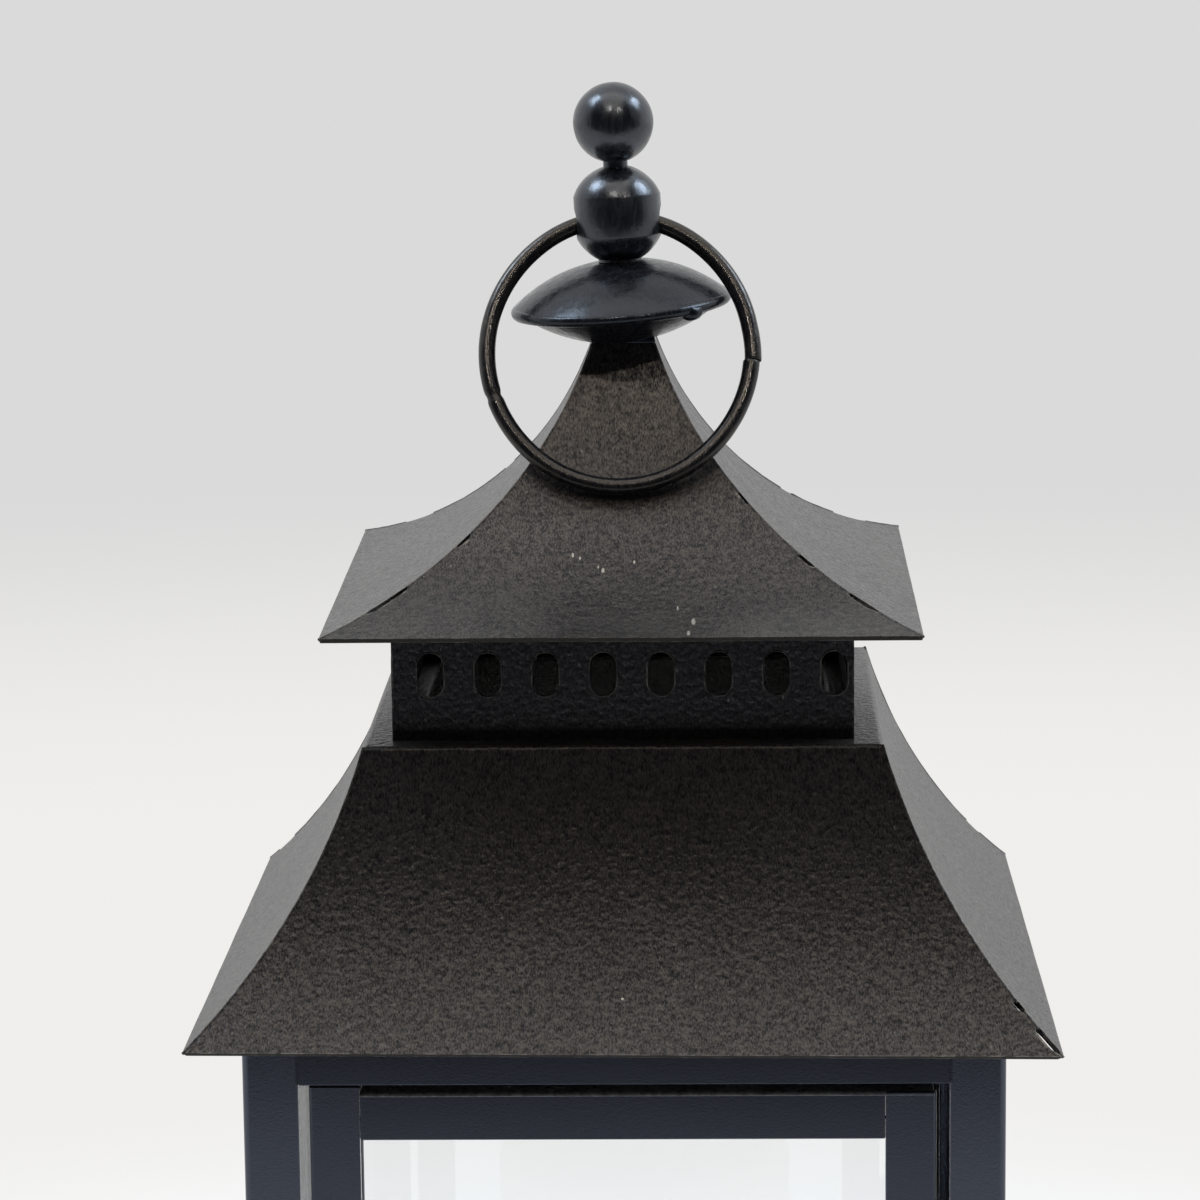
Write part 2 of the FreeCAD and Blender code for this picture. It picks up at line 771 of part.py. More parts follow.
def door_glass_box():
    """Edges of the door's pane: left, right, bottom and top."""
    left = door_left + door_stile - door_glass_lap
    right = door_right - door_stile + door_glass_lap
    return left, right, door_bottom_z + door_rail - door_glass_lap, door_top_z - door_rail + door_glass_lap


def door_glass():
    """Pane behind the door's frame."""
    left, right, low_z, high_z = door_glass_box()
    return block(left, right, -door_back, -door_back + glass, low_z, high_z)


def door_clip(edge_x, inward):
    """Stepped clip from a stile's back over the edge of the pane."""
    back = -door_back
    step = glass + glass_gap
    outer_x = edge_x - inward * (glass_gap + thin_sheet)
    points = [
        (outer_x - inward * door_clip_foot, back),
        (edge_x - inward * glass_gap, back),
        (edge_x - inward * glass_gap, back + step),
        (edge_x + inward * clip_lip, back + step),
        (edge_x + inward * clip_lip, back + step + thin_sheet),
        (outer_x, back + step + thin_sheet),
        (outer_x, back + thin_sheet),
        (outer_x - inward * door_clip_foot, back + thin_sheet),
    ]
    corners = [Vector(x, y, door_middle_z - clip_width / 2) for x, y in points]
    return plate(corners, Vector(0, 0, clip_width))


def door_glass_clips():
    """Two clips on each stile."""
    left, right = door_glass_box()[:2]
    clips = []
    for edge_x, inward in ((left, 1), (right, -1)):
        for hand in (-1, 1):
            clips.append(moved(door_clip(edge_x, inward), 0, 0, hand * door_clip_rise))
    return group(clips)


def hinge_heights():
    """Middle of each hinge."""
    return [door_bottom_z + hinge_inset, door_top_z - hinge_inset]


def hinge_half(hand, spans, bore, middle_z):
    """Leaf on one hand of the axis with knuckles over the given spans, the rest cut clear."""
    low_z = middle_z - hinge_length / 2
    high_z = middle_z + hinge_length / 2
    edge = hinge_x + hand * hinge_leaf
    clear = hinge_x + hand * (knuckle_radius + moving_gap)
    leaf = block(min(clear, edge), max(clear, edge), -body_half - sheet, -body_half, low_z, high_z)
    shapes = []
    for span_low, span_high in spans:
        root = block(
            min(hinge_x, clear), max(hinge_x, clear), -body_half - sheet, -body_half,
            middle_z + span_low, middle_z + span_high,
        )
        shapes.append(root)
        shapes.append(rod(knuckle_radius, hinge_x, hinge_y, middle_z + span_low, middle_z + span_high))
    return leaf.fuse(shapes).removeSplitter().cut(rod(bore, hinge_x, hinge_y, low_z - sheet, high_z + sheet))


def hinge_leaves_post():
    """Leaves on the post, with the outer knuckles."""
    inner = hinge_middle / 2 + moving_gap
    spans = [(-hinge_length / 2, -inner), (inner, hinge_length / 2)]
    return group([hinge_half(1, spans, hinge_pin_radius, z) for z in hinge_heights()])


def hinge_leaves_door():
    """Leaves on the door, with the middle knuckle."""
    spans = [(-hinge_middle / 2, hinge_middle / 2)]
    return group([hinge_half(-1, spans, hinge_pin_radius + pin_play, z) for z in hinge_heights()])


def hinge_pins():
    """Headed pins through the knuckles."""
    pins = []
    for middle_z in hinge_heights():
        top_z = middle_z + hinge_length / 2
        pin = rod(hinge_pin_radius, hinge_x, hinge_y, middle_z - hinge_length / 2, top_z)
        head = rod(pin_head_radius, hinge_x, hinge_y, top_z, top_z + pin_head)
        pins.append(pin.fuse(head).removeSplitter())
    return group(pins)


def latch_rod(radius, start_y, end_y):
    """Cylinder on the latch axis."""
    start = Vector(latch_x, start_y, door_middle_z)
    return Part.makeCylinder(radius, end_y - start_y, start, Vector(0, 1, 0))


tongue_front = -door_back + moving_gap
tongue_back = tongue_front + tongue_thickness


def latch_knob():
    """Ball knob, collar and spindle, peened over behind the tongue."""
    face = -body_half - moving_gap
    ball_y = -body_half - latch_proud + latch_ball_radius
    ball = Part.makeSphere(latch_ball_radius, Vector(latch_x, ball_y, door_middle_z))
    stem = latch_rod(latch_stem_radius, ball_y, face)
    collar = latch_rod(latch_collar_radius, face - latch_collar, face)
    spindle = latch_rod(spindle_radius, face - latch_collar, tongue_back)
    peen = latch_rod(peen_radius, tongue_back, tongue_back + peen_height)
    return ball.fuse([stem, collar, spindle, peen]).removeSplitter()


def latch_tongue():
    """Flat tongue that hangs free at rest and turns in behind the post."""
    low_z = door_middle_z - tongue_length + tongue_half_width
    bar = block(
        latch_x - tongue_half_width, latch_x + tongue_half_width, tongue_front, tongue_back,
        low_z, door_middle_z,
    )
    ends = []
    for end_z in (low_z, door_middle_z):
        start = Vector(latch_x, tongue_front, end_z)
        ends.append(Part.makeCylinder(tongue_half_width, tongue_thickness, start, Vector(0, 1, 0)))
    hole = latch_rod(spindle_radius, tongue_front - sheet, tongue_back + sheet)
    return bar.fuse(ends).removeSplitter().cut(hole)


def sided(name, shape):
    """The same piece on all four sides."""
    return {f"{name}_{side}": on_side(shape, index) for index, side in enumerate(sides)}


def roof_nodes():
    """Both roofs, the walls between them and their tabs."""
    nodes = {}
    for index, side in enumerate(sides):
        nodes[f"upper_roof_{side}"] = with_slits(upper_roof_panel(), upper_curve, upper_slits, index)
        nodes[f"lower_roof_{side}"] = with_slits(lower_roof_panel(), lower_curve, lower_slits, index)
    nodes.update(sided("vent_wall", vent_wall()))
    nodes["roof_tabs"] = roof_tabs()
    return nodes


def finial_nodes():
    """Everything above the neck, and the stud that holds it."""
    return {
        "neck_cap": neck_cap(),
        "stud_nut": stud_nut(),
        "finial_stud": finial_stud(),
        "saucer_lower": saucer_lower(),
        "saucer_upper": saucer_upper(),
        "finial_bead": finial_bead(),
        "finial_ball": finial_ball(),
        "hanging_ring": hanging_ring(),
    }


def body_nodes():
    """Posts, rails, fixed panes and their clips."""
    nodes = {}
    for index, corner in enumerate(["front_left", "front_right", "back_right", "back_left"]):
        nodes[f"corner_post_{corner}"] = on_side(corner_post(), index)
    nodes.update(sided("top_rail", top_rail()))
    nodes.update(sided("bottom_rail", bottom_rail()))
    for index in (1, 2, 3):
        nodes[f"glass_pane_{sides[index]}"] = on_side(glass_pane(), index)
    nodes["glass_clips_upper"] = pane_clips(upper_clip())
    nodes["glass_clips_lower"] = pane_clips(lower_clip())
    return nodes


def base_nodes():
    """Floor, skirt, rivets, candle cup and candle."""
    nodes = sided("base_skirt", base_skirt())
    cup_stack_z = base_height + thin_sheet
    nodes["base_plate"] = base_plate()
    nodes["base_rivets"] = base_rivets()
    nodes["candle_cup"] = candle_cup()
    nodes["cup_rivet"] = rivet(cup_rivet_radius, cup_rivet_head_radius, plate_bottom_z, cup_stack_z)
    nodes["candle"] = candle()
    nodes["candle_wick"] = candle_wick()
    return nodes


def door_nodes():
    """Door frame, its pane, hinges and latch."""
    return {
        "door_stile_latch": door_stile_latch(),
        "door_stile_hinge": door_stile_hinge(),
        "door_top_rail": door_rail_strip(door_top_z - door_rail, door_top_z),
        "door_bottom_rail": door_rail_strip(door_bottom_z, door_bottom_z),
        "door_glass": door_glass(),
        "door_glass_clips": door_glass_clips(),
        "hinge_leaves_post": hinge_leaves_post(),
        "hinge_leaves_door": hinge_leaves_door(),
        "hinge_pins": hinge_pins(),
        "latch_knob": latch_knob(),
        "latch_tongue": latch_tongue(),
    }


def build():
    """Write one file for every piece."""
    os.makedirs("parts", exist_ok=True)
    nodes = {**roof_nodes(), **finial_nodes(), **body_nodes(), **base_nodes(), **door_nodes()}
    for name, shape in nodes.items():
        shape.exportStep(f"parts/{name}.step")
    print(len(nodes), "nodes, top at", round(ball_z + ball_radius, 2))
    print("ring: bore height", round(bore_z, 3), "lean", round(ring_lean(), 3))
    print("hinge axis", round(hinge_x, 3), round(hinge_y, 3))
    print("latch axis", round(latch_x, 3), round(door_middle_z, 3))


build()
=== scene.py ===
"""Looks of a hanging candle lantern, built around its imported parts.

Metres. +Z is up, the door is on the -Y side, and the middle of the foot is the origin.
"""
import logging
import math
from dataclasses import dataclass
from enum import Enum
from functools import cache
from typing import Iterable, Sequence, Union

import bmesh
import bpy
from mathutils import Matrix, Vector, noise


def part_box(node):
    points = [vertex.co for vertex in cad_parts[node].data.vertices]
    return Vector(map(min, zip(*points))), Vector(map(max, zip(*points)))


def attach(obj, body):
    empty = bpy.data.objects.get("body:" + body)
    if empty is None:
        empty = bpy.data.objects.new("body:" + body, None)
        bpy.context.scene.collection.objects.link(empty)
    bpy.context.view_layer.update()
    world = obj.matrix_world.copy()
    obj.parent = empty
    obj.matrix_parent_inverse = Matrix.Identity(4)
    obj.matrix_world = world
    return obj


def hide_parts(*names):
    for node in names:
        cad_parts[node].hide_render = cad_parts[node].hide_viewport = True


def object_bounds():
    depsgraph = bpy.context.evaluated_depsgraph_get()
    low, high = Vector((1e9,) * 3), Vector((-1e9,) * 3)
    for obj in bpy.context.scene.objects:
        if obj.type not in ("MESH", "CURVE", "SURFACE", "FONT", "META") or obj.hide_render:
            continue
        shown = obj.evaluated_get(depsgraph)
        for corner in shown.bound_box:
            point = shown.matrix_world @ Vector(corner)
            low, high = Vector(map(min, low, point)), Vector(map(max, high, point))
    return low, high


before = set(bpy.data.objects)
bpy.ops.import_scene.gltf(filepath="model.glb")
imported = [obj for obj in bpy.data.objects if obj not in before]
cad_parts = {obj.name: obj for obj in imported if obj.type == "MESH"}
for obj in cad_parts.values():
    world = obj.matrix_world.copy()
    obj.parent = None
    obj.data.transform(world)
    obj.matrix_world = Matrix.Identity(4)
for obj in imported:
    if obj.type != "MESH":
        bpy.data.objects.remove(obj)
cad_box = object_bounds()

LOG = logging.getLogger("lantern")
MM = 0.001
WELD = 0.001 * MM  # corners closer than this are one corner
FLAT = math.radians(0.4)  # faces closer than this lie in one plane
CREASE = math.radians(32)  # sharper edges are rounded off
EDGE_STEPS = 2  # faces across a rounded edge
FACE_WEIGHT = 100  # how much the larger faces lead the normals at an edge
NUMBER = "NodeSocketFloat"
GEOMETRY = "NodeSocketGeometry"

Socket = bpy.types.NodeSocket
NodeTree = bpy.types.NodeTree
Material = bpy.types.Material
Mesh = bpy.types.Mesh
Piece = bpy.types.Object
Feed = Union[Socket, float, int, tuple, Material]
Point2 = tuple[float, float]
Triple = tuple[float, float, float]
Colour = Triple


class Body(Enum):
    """Bodies that the pieces ride on."""

    LANTERN = "lantern"
    DOOR = "door"
    LATCH = "latch"
    RING = "ring"
    CANDLE = "candle_set"


class Side(Enum):
    """Sides of the lantern, in quarter turns from the front."""

    FRONT = 0
    RIGHT = 1
    BACK = 2
    LEFT = 3

    @property
    def label(self) -> str:
        """Name of the side as the parts spell it."""
        return self.name.lower()

    @property
    def turn(self) -> Matrix:
        """Rotation that brings a front piece to this side."""
        return Matrix.Rotation(math.radians(90 * self.value), 4, "Z")


class Wiring:
    """Adds nodes to one node tree and joins them."""

    def __init__(self, tree: NodeTree) -> None:
        """Take the node tree to work on."""
        self.tree = tree

    def feed(self, socket: Socket, value: Feed) -> None:
        """Join a socket to another one, or give it a plain value.

        Args:
            socket: The input.
            value: An output socket, or the value itself.
        """
        if isinstance(value, Socket):
            self.tree.links.new(value, socket)
        elif socket.type == "RGBA" and len(value) == 3:
            socket.default_value = (*value, 1.0)
        else:
            socket.default_value = value

    def add(self, kind: str, inputs: dict | None = None, **settings: object) -> bpy.types.Node:
        """Add one node.

        Args:
            kind: Blender's name of the node type.
            inputs: Feeds by the input's name or number.
            settings: Options of the node itself.

        Returns:
            The node.
        """
        node = self.tree.nodes.new(kind)
        for label, setting in settings.items():
            setattr(node, label, setting)
        for key, value in (inputs or {}).items():
            self.feed(node.inputs[key], value)
        return node

    def out(self, kind: str, inputs: dict | None = None, **settings: object) -> Socket:
        """First output of a new node."""
        return self.add(kind, inputs, **settings).outputs[0]

    def math(self, operation: str, *values: Feed, clamp: bool = False) -> Socket:
        """Result of one of Blender's operations on some numbers."""
        feeds = dict(enumerate(values))
        return self.out("ShaderNodeMath", feeds, operation=operation, use_clamp=clamp)

    def times(self, first: Feed, second: Feed) -> Socket:
        """Product of two numbers."""
        return self.math("MULTIPLY", first, second)

    def minus(self, first: Feed, second: Feed) -> Socket:
        """First number less the second."""
        return self.math("SUBTRACT", first, second)

    def per(self, value: Feed) -> Socket:
        """One over a number."""
        return self.math("DIVIDE", 1.0, value)

    def between(self, start: Feed, end: Feed, share: Feed) -> Socket:
        """Value a share of the way from start to end."""
        span = self.minus(end, start)
        return self.math("MULTIPLY_ADD", span, share, start)

    def ramp(self, value: Feed, low: Feed, high: Feed, start: Feed = 0.0, end: Feed = 1.0,
             smooth: bool = False) -> Socket:
        """Value mapped from one range to another, which stops at the ends and can be eased there."""
        feeds = {0: value, 1: low, 2: high, 3: start, 4: end}
        return self.out("ShaderNodeMapRange", feeds, interpolation_type="SMOOTHSTEP" if smooth else "LINEAR")

    def speckle(self, place: Socket, scale: Feed, detail: float = 2.0, distortion: float = 0.0) -> Socket:
        """Cloudy noise from 0 to 1, with so many waves in a metre."""
        feeds = {"Vector": place, "Scale": scale, "Detail": detail, "Distortion": distortion}
        return self.out("ShaderNodeTexNoise", feeds)

    def tint(self, share: Feed, first: Feed, second: Feed) -> Socket:
        """Colour a share of the way from the first to the second."""
        feeds = {0: share, 6: first, 7: second}
        return self.add("ShaderNodeMix", feeds, data_type="RGBA").outputs[2]

    def stretched(self, place: Socket, scale: Triple) -> Socket:
        """Coordinates with each axis scaled by itself."""
        return self.out("ShaderNodeMapping", {"Vector": place, "Scale": scale})

    def weighed(self, *terms: tuple[Socket, float]) -> Socket:
        """Sum of some values, each times its own weight.

        Args:
            terms: Each value with its weight.

        Returns:
            The sum.
        """
        (first, share), *others = terms
        total = self.times(first, share)
        for value, share in others:
            total = self.math("MULTIPLY_ADD", value, share, total)
        return total

    def dot(self, first: Feed, second: Feed) -> Socket:
        """How far two vectors point the same way."""
        node = self.add("ShaderNodeVectorMath", {0: first, 1: second}, operation="DOT_PRODUCT")
        return node.outputs["Value"]

    def length(self, vector: Socket) -> Socket:
        """Length of a vector."""
        return self.add("ShaderNodeVectorMath", {0: vector}, operation="LENGTH").outputs["Value"]

    def axis(self, vector: Socket, name: str) -> Socket:
        """One axis of a vector."""
        return self.add("ShaderNodeSeparateXYZ", {0: vector}).outputs[name]

    def seen(self) -> Socket:
        """Whether a ray comes from the camera, straight or through glass."""
        path = self.add("ShaderNodeLightPath").outputs
        return self.math("MAXIMUM", path["Is Camera Ray"], path["Is Transmission Ray"])


class EffectGroup(Wiring):
    """Shader group that several finishes share, read at a place."""

    def __init__(self, name: str, takes: Sequence[str], gives: Sequence[str]) -> None:
        """Open the group.

        Args:
            name: Name of the group.
            takes: Names of the numbers that it is given, beside the place.
            gives: Names of the values that it puts out.
        """
        tree = bpy.data.node_groups.new(name, "ShaderNodeTree")
        super().__init__(tree)
        tree.interface.new_socket("Place", in_out="INPUT", socket_type="NodeSocketVector")
        for label in takes:
            tree.interface.new_socket(label, in_out="INPUT", socket_type=NUMBER)
        for label in gives:
            tree.interface.new_socket(label, in_out="OUTPUT", socket_type=NUMBER)
        self.given = self.add("NodeGroupInput").outputs
        self.place = self.given["Place"]

    def close(self, **results: Socket) -> NodeTree:
        """Put the named results out, and give the finished group."""
        self.add("NodeGroupOutput", dict(results))
        return self.tree


NOISE_RANGE = (0.3, 0.7)  # where most of a noise lies
CELL_SMOOTHNESS = 0.35
GRIT_STRETCH = (1.0, 0.5, 0.35)  # grit is drawn out up and down the roofs
TONE_RANGE = (0.37, 0.63)  # noise of a hollow and of a crest
WEAR_TURN = (0.015, 0.14)  # how far an edge turns where its wear starts and where that is full
WEAR_PATCH = (0.42, 0.64)  # noise where a worn patch starts and where it is full
CHIP_CHANCE = (0.80, 0.84)  # cells below this have no chip
# Smoke black from the candle together with painted shade, darkening what faces down and what faces in to the
# axis
SOOTY_SHADE_DOWN = (-0.05, -0.25)  # rise of the normal where the sooty painted shade starts and where it is full
SOOTY_SHADE_UNDER = 0.8  # share of sooty painted shade on what faces down
SOOTY_SHADE_INWARD = (-4 * MM, -14 * MM)  # how far a face looks in to the axis, in the same way
DUST_LEVEL = (0.80, 0.99)  # rise of the normal where dust starts to lie and where it is full
DUST_CLOUD = (0.35, 0.75)  # noise of the thinnest and the thickest dust


@cache
def hammer_relief() -> NodeTree:
    """Pebbled skin of a hammered coat: round cells, mottled, with fine grit on them.

    Returns:
        Group that gives the relief's height and its tone, from hollow to crest.
    """
    group = EffectGroup("hammer_relief", ["Cell", "Grit"], ["Height", "Tone"])
    cell_scale, grit_scale = group.per(group.given["Cell"]), group.per(group.given["Grit"])
    drift = group.add("ShaderNodeTexNoise", {"Vector": group.place, "Scale": cell_scale}).outputs["Color"]
    pull = group.out("ShaderNodeVectorMath", {0: drift, 3: group.given["Cell"]}, operation="SCALE")
    pulled = group.out("ShaderNodeVectorMath", {0: group.place, 1: pull})
    feeds = {"Vector": pulled, "Scale": cell_scale, "Smoothness": CELL_SMOOTHNESS}
    cells = group.add("ShaderNodeTexVoronoi", feeds, feature="SMOOTH_F1").outputs["Distance"]
    dome = group.math("SUBTRACT", 1.0, cells, clamp=True)
    grit = group.speckle(group.stretched(group.place, GRIT_STRETCH), grit_scale, detail=1.0)
    mottle = group.speckle(group.place, cell_scale, detail=2.0)
    height = group.weighed((dome, 0.4), (grit, 0.26), (mottle, 0.7))
    tone = group.weighed((mottle, 0.38), (grit, 0.62))
    return group.close(Height=height, Tone=group.ramp(tone, *TONE_RANGE))


@cache
def edge_wear() -> NodeTree:
    """Paint rubbed thin along edges, in patches.

    Returns:
        Group that gives a mask of the worn places.
    """
    group = EffectGroup("edge_wear", ["Reach", "Patch"], ["Mask"])
    rounded = group.out("ShaderNodeBevel", {"Radius": group.given["Reach"]}, samples=4)
    facing = group.add("ShaderNodeNewGeometry").outputs["Normal"]
    turn = group.minus(1.0, group.dot(rounded, facing))
    patch = group.speckle(group.place, group.per(group.given["Patch"]), detail=4.0)
    return group.close(Mask=group.times(group.ramp(turn, *WEAR_TURN), group.ramp(patch, *WEAR_PATCH)))


@cache
def paint_chips() -> NodeTree:
    """Sparse flecks: where the coat has come off, and pale specks painted in as highlights.

    Returns:
        Group that gives a mask of the flecks.
    """
    group = EffectGroup("paint_chips", ["Spacing", "Size"], ["Mask"])
    spacing, size = group.given["Spacing"], group.given["Size"]
    cells = group.add("ShaderNodeTexVoronoi", {"Vector": group.place, "Scale": group.per(spacing)}).outputs
    chance = group.add("ShaderNodeSeparateColor", {0: cells["Color"]}).outputs["Green"]
    ragged = group.speckle(group.place, group.math("DIVIDE", 2.0, size))
    spot = group.math("LESS_THAN", group.times(cells["Distance"], spacing), group.times(size, ragged))
    return group.close(Mask=group.times(spot, group.ramp(chance, *CHIP_CHANCE)))


@cache
def candle_side() -> NodeTree:
    """What faces down, or in towards the candle, where smoke black and painted shade are laid.

    Returns:
        Group that gives a mask of it.
    """
    group = EffectGroup("candle_side", [], ["Mask"])
    own_normal = group.add("ShaderNodeTexCoord").outputs["Normal"]
    under = group.ramp(group.axis(own_normal, "Z"), *SOOTY_SHADE_DOWN, 0.0, SOOTY_SHADE_UNDER)
    inward = group.ramp(group.dot(group.stretched(group.place, (1.0, 1.0, 0.0)), own_normal), *SOOTY_SHADE_INWARD)
    return group.close(Mask=group.math("MAXIMUM", under, inward))


@cache
def settled_dust() -> NodeTree:
    """Dust lying on what faces up.

    Returns:
        Group that gives a mask of the dust.
    """
    group = EffectGroup("settled_dust", ["Cloud", "Amount"], ["Mask"])
    own_normal = group.add("ShaderNodeTexCoord").outputs["Normal"]
    level = group.ramp(group.axis(own_normal, "Z"), *DUST_LEVEL, smooth=True)
    cloud = group.speckle(group.place, group.per(group.given["Cloud"]), detail=6.0)
    lying = group.times(level, group.ramp(cloud, *DUST_CLOUD))
    return group.close(Mask=group.times(lying, group.given["Amount"]))


class Surface(Wiring):
    """Node tree of one material, with its Principled shader."""

    def __init__(self, name: str) -> None:
        """Make the material.

        Args:
            name: Name of the material.
        """
        self.material = bpy.data.materials.new(name)
        self.material.use_nodes = True
        super().__init__(self.material.node_tree)
        self.shader = self.tree.nodes["Principled BSDF"]
        self.place = self.add("ShaderNodeTexCoord").outputs["Object"]

    def effect(self, group: NodeTree, **values: Feed) -> bpy.types.NodeOutputs:
        """Place a shared effect, read at the surface's own coordinates.

        Args:
            group: The effect's group.
            values: Its other inputs by name.

        Returns:
            Its outputs.
        """
        node = self.add("ShaderNodeGroup", node_tree=group)
        for label, value in {"Place": self.place, **values}.items():
            self.feed(node.inputs[label], value)
        return node.outputs

    def upright(self, rise: float) -> Socket:
        """Own coordinates, in which a pattern is drawn out upwards."""
        return self.stretched(self.place, (1.0, 1.0, rise))

    def mask(self, group: NodeTree, **values: Feed) -> Socket:
        """Mask that a shared effect gives."""
        return self.effect(group, **values)["Mask"]

    def blend(self, share: Socket, other: Socket) -> None:
        """Mix a share of another shader over the material's own."""
        mix = self.out("ShaderNodeMixShader", {0: share, 1: self.shader.outputs[0], 2: other})
        self.feed(self.tree.nodes["Material Output"].inputs["Surface"], mix)

    def set(self, **values: Feed) -> None:
        """Feed the shader's inputs, written with _ for a space."""
        for label, value in values.items():
            self.feed(self.shader.inputs[label.replace("_", " ")], value)

    def bump(self, height: Socket, depth: float, strength: float = 1.0) -> None:
        """Raise the surface by a relief from 0 to 1, where 1 stands for the depth in metres."""
        feeds = {"Height": height, "Distance": depth, "Strength": strength}
        self.set(Normal=self.out("ShaderNodeBump", feeds))


@dataclass(frozen=True)
class Finish:
    """Finish of some pieces, known by the record's slot."""

    slot: str
    grade: str = "finish"

    def material(self) -> Material:
        """Material of the finish, made when it is first asked for.

        Returns:
            The material.
        """
        name = f"{self.slot}_{self.grade}"
        if name not in bpy.data.materials:
            self.make(Surface(name))
        return bpy.data.materials[name]

    def make(self, surface: Surface) -> None:
        """Build the material on an empty surface."""
        raise NotImplementedError


@dataclass(frozen=True)
class Paint(Finish):
    """Coat of paint, with what wears it and what lies on it."""

    bare: Colour = (0.36, 0.34, 0.30)
    dusty: Colour = (0.10, 0.096, 0.090)
    dust_cloud: float = 14 * MM
    dust_amount: float = 0.50
    wear_reach: float = 0.35 * MM
    wear_patch: float = 2.6 * MM
    wear_share: float = 0.5
    chip_spacing: float = 9 * MM
    chip_size: float = 0.50 * MM

    def dusted(self, surface: Surface, coat: Socket) -> Socket:
        """Coat with dust on what faces up."""
        dust = surface.mask(settled_dust(), Cloud=self.dust_cloud, Amount=self.dust_amount)
        return surface.tint(dust, coat, self.dusty)

    def worn(self, surface: Surface) -> Socket:
        """Mask of the edges that are rubbed bare."""
        edges = surface.mask(edge_wear(), Reach=self.wear_reach, Patch=self.wear_patch)
        return surface.times(edges, self.wear_share)

    def chips(self, surface: Surface) -> Socket:
        """Mask of the chips that are strewn all over."""
        return surface.mask(paint_chips(), Spacing=self.chip_spacing, Size=self.chip_size)


@dataclass(frozen=True)
class HammeredPaint(Paint):
    """Brown-black hammered coat of the roofs and the vent walls."""

    slot: str = "hammered_black"
    hollow: Colour = (0.0055, 0.0055, 0.0075)
    crest: Colour = (0.0735, 0.0660, 0.0610)
    flake: float = 0.5  # share of metal flake in the coat
    gloss: float = 0.4
    roughness: Point2 = (0.42, 0.31)  # in a hollow and on a crest
    cloud: Point2 = (0.86, 1.0)  # share of the tone that shows, at the least and at the most
    cloud_scale: float = 55.0  # clouds in a metre
    # painted highlight: pale specks drawn out upwards in the base colour, where light would glint on the
    # pebbles
    painted_sparkle: Colour = (0.20, 0.19, 0.17)
    painted_sparkle_share: float = 0.5
    painted_sparkle_spacing: float = 2.4 * MM
    painted_sparkle_size: float = 0.34 * MM
    painted_sparkle_rise: float = 0.5  # scale of its height, less than 1 for a taller one
    # smoke black from the candle and painted shade, on what faces down and what faces in
    sooty_painted_shade: Colour = (0.050, 0.047, 0.044)
    sooty_painted_shade_roughness: float = 1.0
    cell: float = 1.10 * MM
    grit: float = 0.24 * MM
    depth: float = 0.17 * MM
    fleck_edge: Point2 = (1.0, 0.6)  # where a fleck starts and where it is full, in its half sizes
    flecks: tuple[tuple[Triple, Triple], ...] = (  # chips on the upper front: place and half sizes, in mm
        ((-3.2, -32.6, 241.2), (0.32, 0.70, 0.70)),
        ((-8.3, -29.6, 243.3), (0.24, 0.60, 0.60)),
        ((-7.1, -30.2, 242.9), (0.18, 0.45, 0.45)),
        ((-4.0, -32.0, 241.7), (0.18, 0.45, 0.45)),
        ((2.0, -31.0, 242.3), (0.20, 0.50, 0.50)),
        ((9.3, -41.3, 236.3), (0.16, 0.80, 0.60)),
        ((11.9, -44.9, 234.7), (0.40, 1.30, 0.70)),
        ((11.1, -48.2, 233.4), (0.32, 1.00, 0.60)),
    )

    def chipped(self, surface: Surface, mask: Socket) -> Socket:
        """Add the flecks of the upper front to a mask.

        Args:
            surface: Surface to work on.
            mask: The other bare places.

        Returns:
            Both together.
        """
        for place, size in self.flecks:
            feeds = {"Vector": surface.place, "Location": Vector(place) * MM, "Scale": Vector(size) * MM}
            near = surface.out("ShaderNodeMapping", feeds, vector_type="TEXTURE")
            fleck = surface.ramp(surface.length(near), *self.fleck_edge)
            mask = surface.math("MAXIMUM", mask, fleck)
        return mask

    def make(self, surface: Surface) -> None:
        """Build the coat: cells, pale specks painted in as highlights, dust, smoke black and painted shade on
        what faces down and in, worn edges and chips.

        Args:
            surface: Empty surface, which changes.
        """
        relief = surface.effect(hammer_relief(), Cell=self.cell, Grit=self.grit)
        cloud = surface.speckle(surface.place, self.cloud_scale, detail=3.0)
        cloud = surface.ramp(cloud, *NOISE_RANGE, *self.cloud)
        coat = surface.tint(surface.times(relief["Tone"], cloud), self.hollow, self.crest)
        # Pale specks painted into the colour as highlights.
        tall = surface.upright(self.painted_sparkle_rise)
        painted_sparkles = surface.mask(paint_chips(), Place=tall, Spacing=self.painted_sparkle_spacing, Size=self.painted_sparkle_size)
        painted_sparkles = surface.times(painted_sparkles, self.painted_sparkle_share)
        coat = self.dusted(surface, surface.tint(painted_sparkles, coat, self.painted_sparkle))
        rough = surface.ramp(relief["Tone"], 0.0, 1.0, *self.roughness)
        # Darker and matt where things face down and in: smoke black and painted shade.
        sooty_painted_shade_mask = surface.mask(candle_side())
        coat = surface.tint(sooty_painted_shade_mask, coat, self.sooty_painted_shade)
        rough = surface.between(rough, self.sooty_painted_shade_roughness, sooty_painted_shade_mask)
        bare = self.chipped(surface, surface.math("MAXIMUM", self.worn(surface), self.chips(surface)))
        surface.set(Base_Color=surface.tint(bare, coat, self.bare))
        surface.set(Roughness=rough, Metallic=self.flake, Specular_IOR_Level=self.gloss)
        surface.bump(relief["Height"], self.depth)


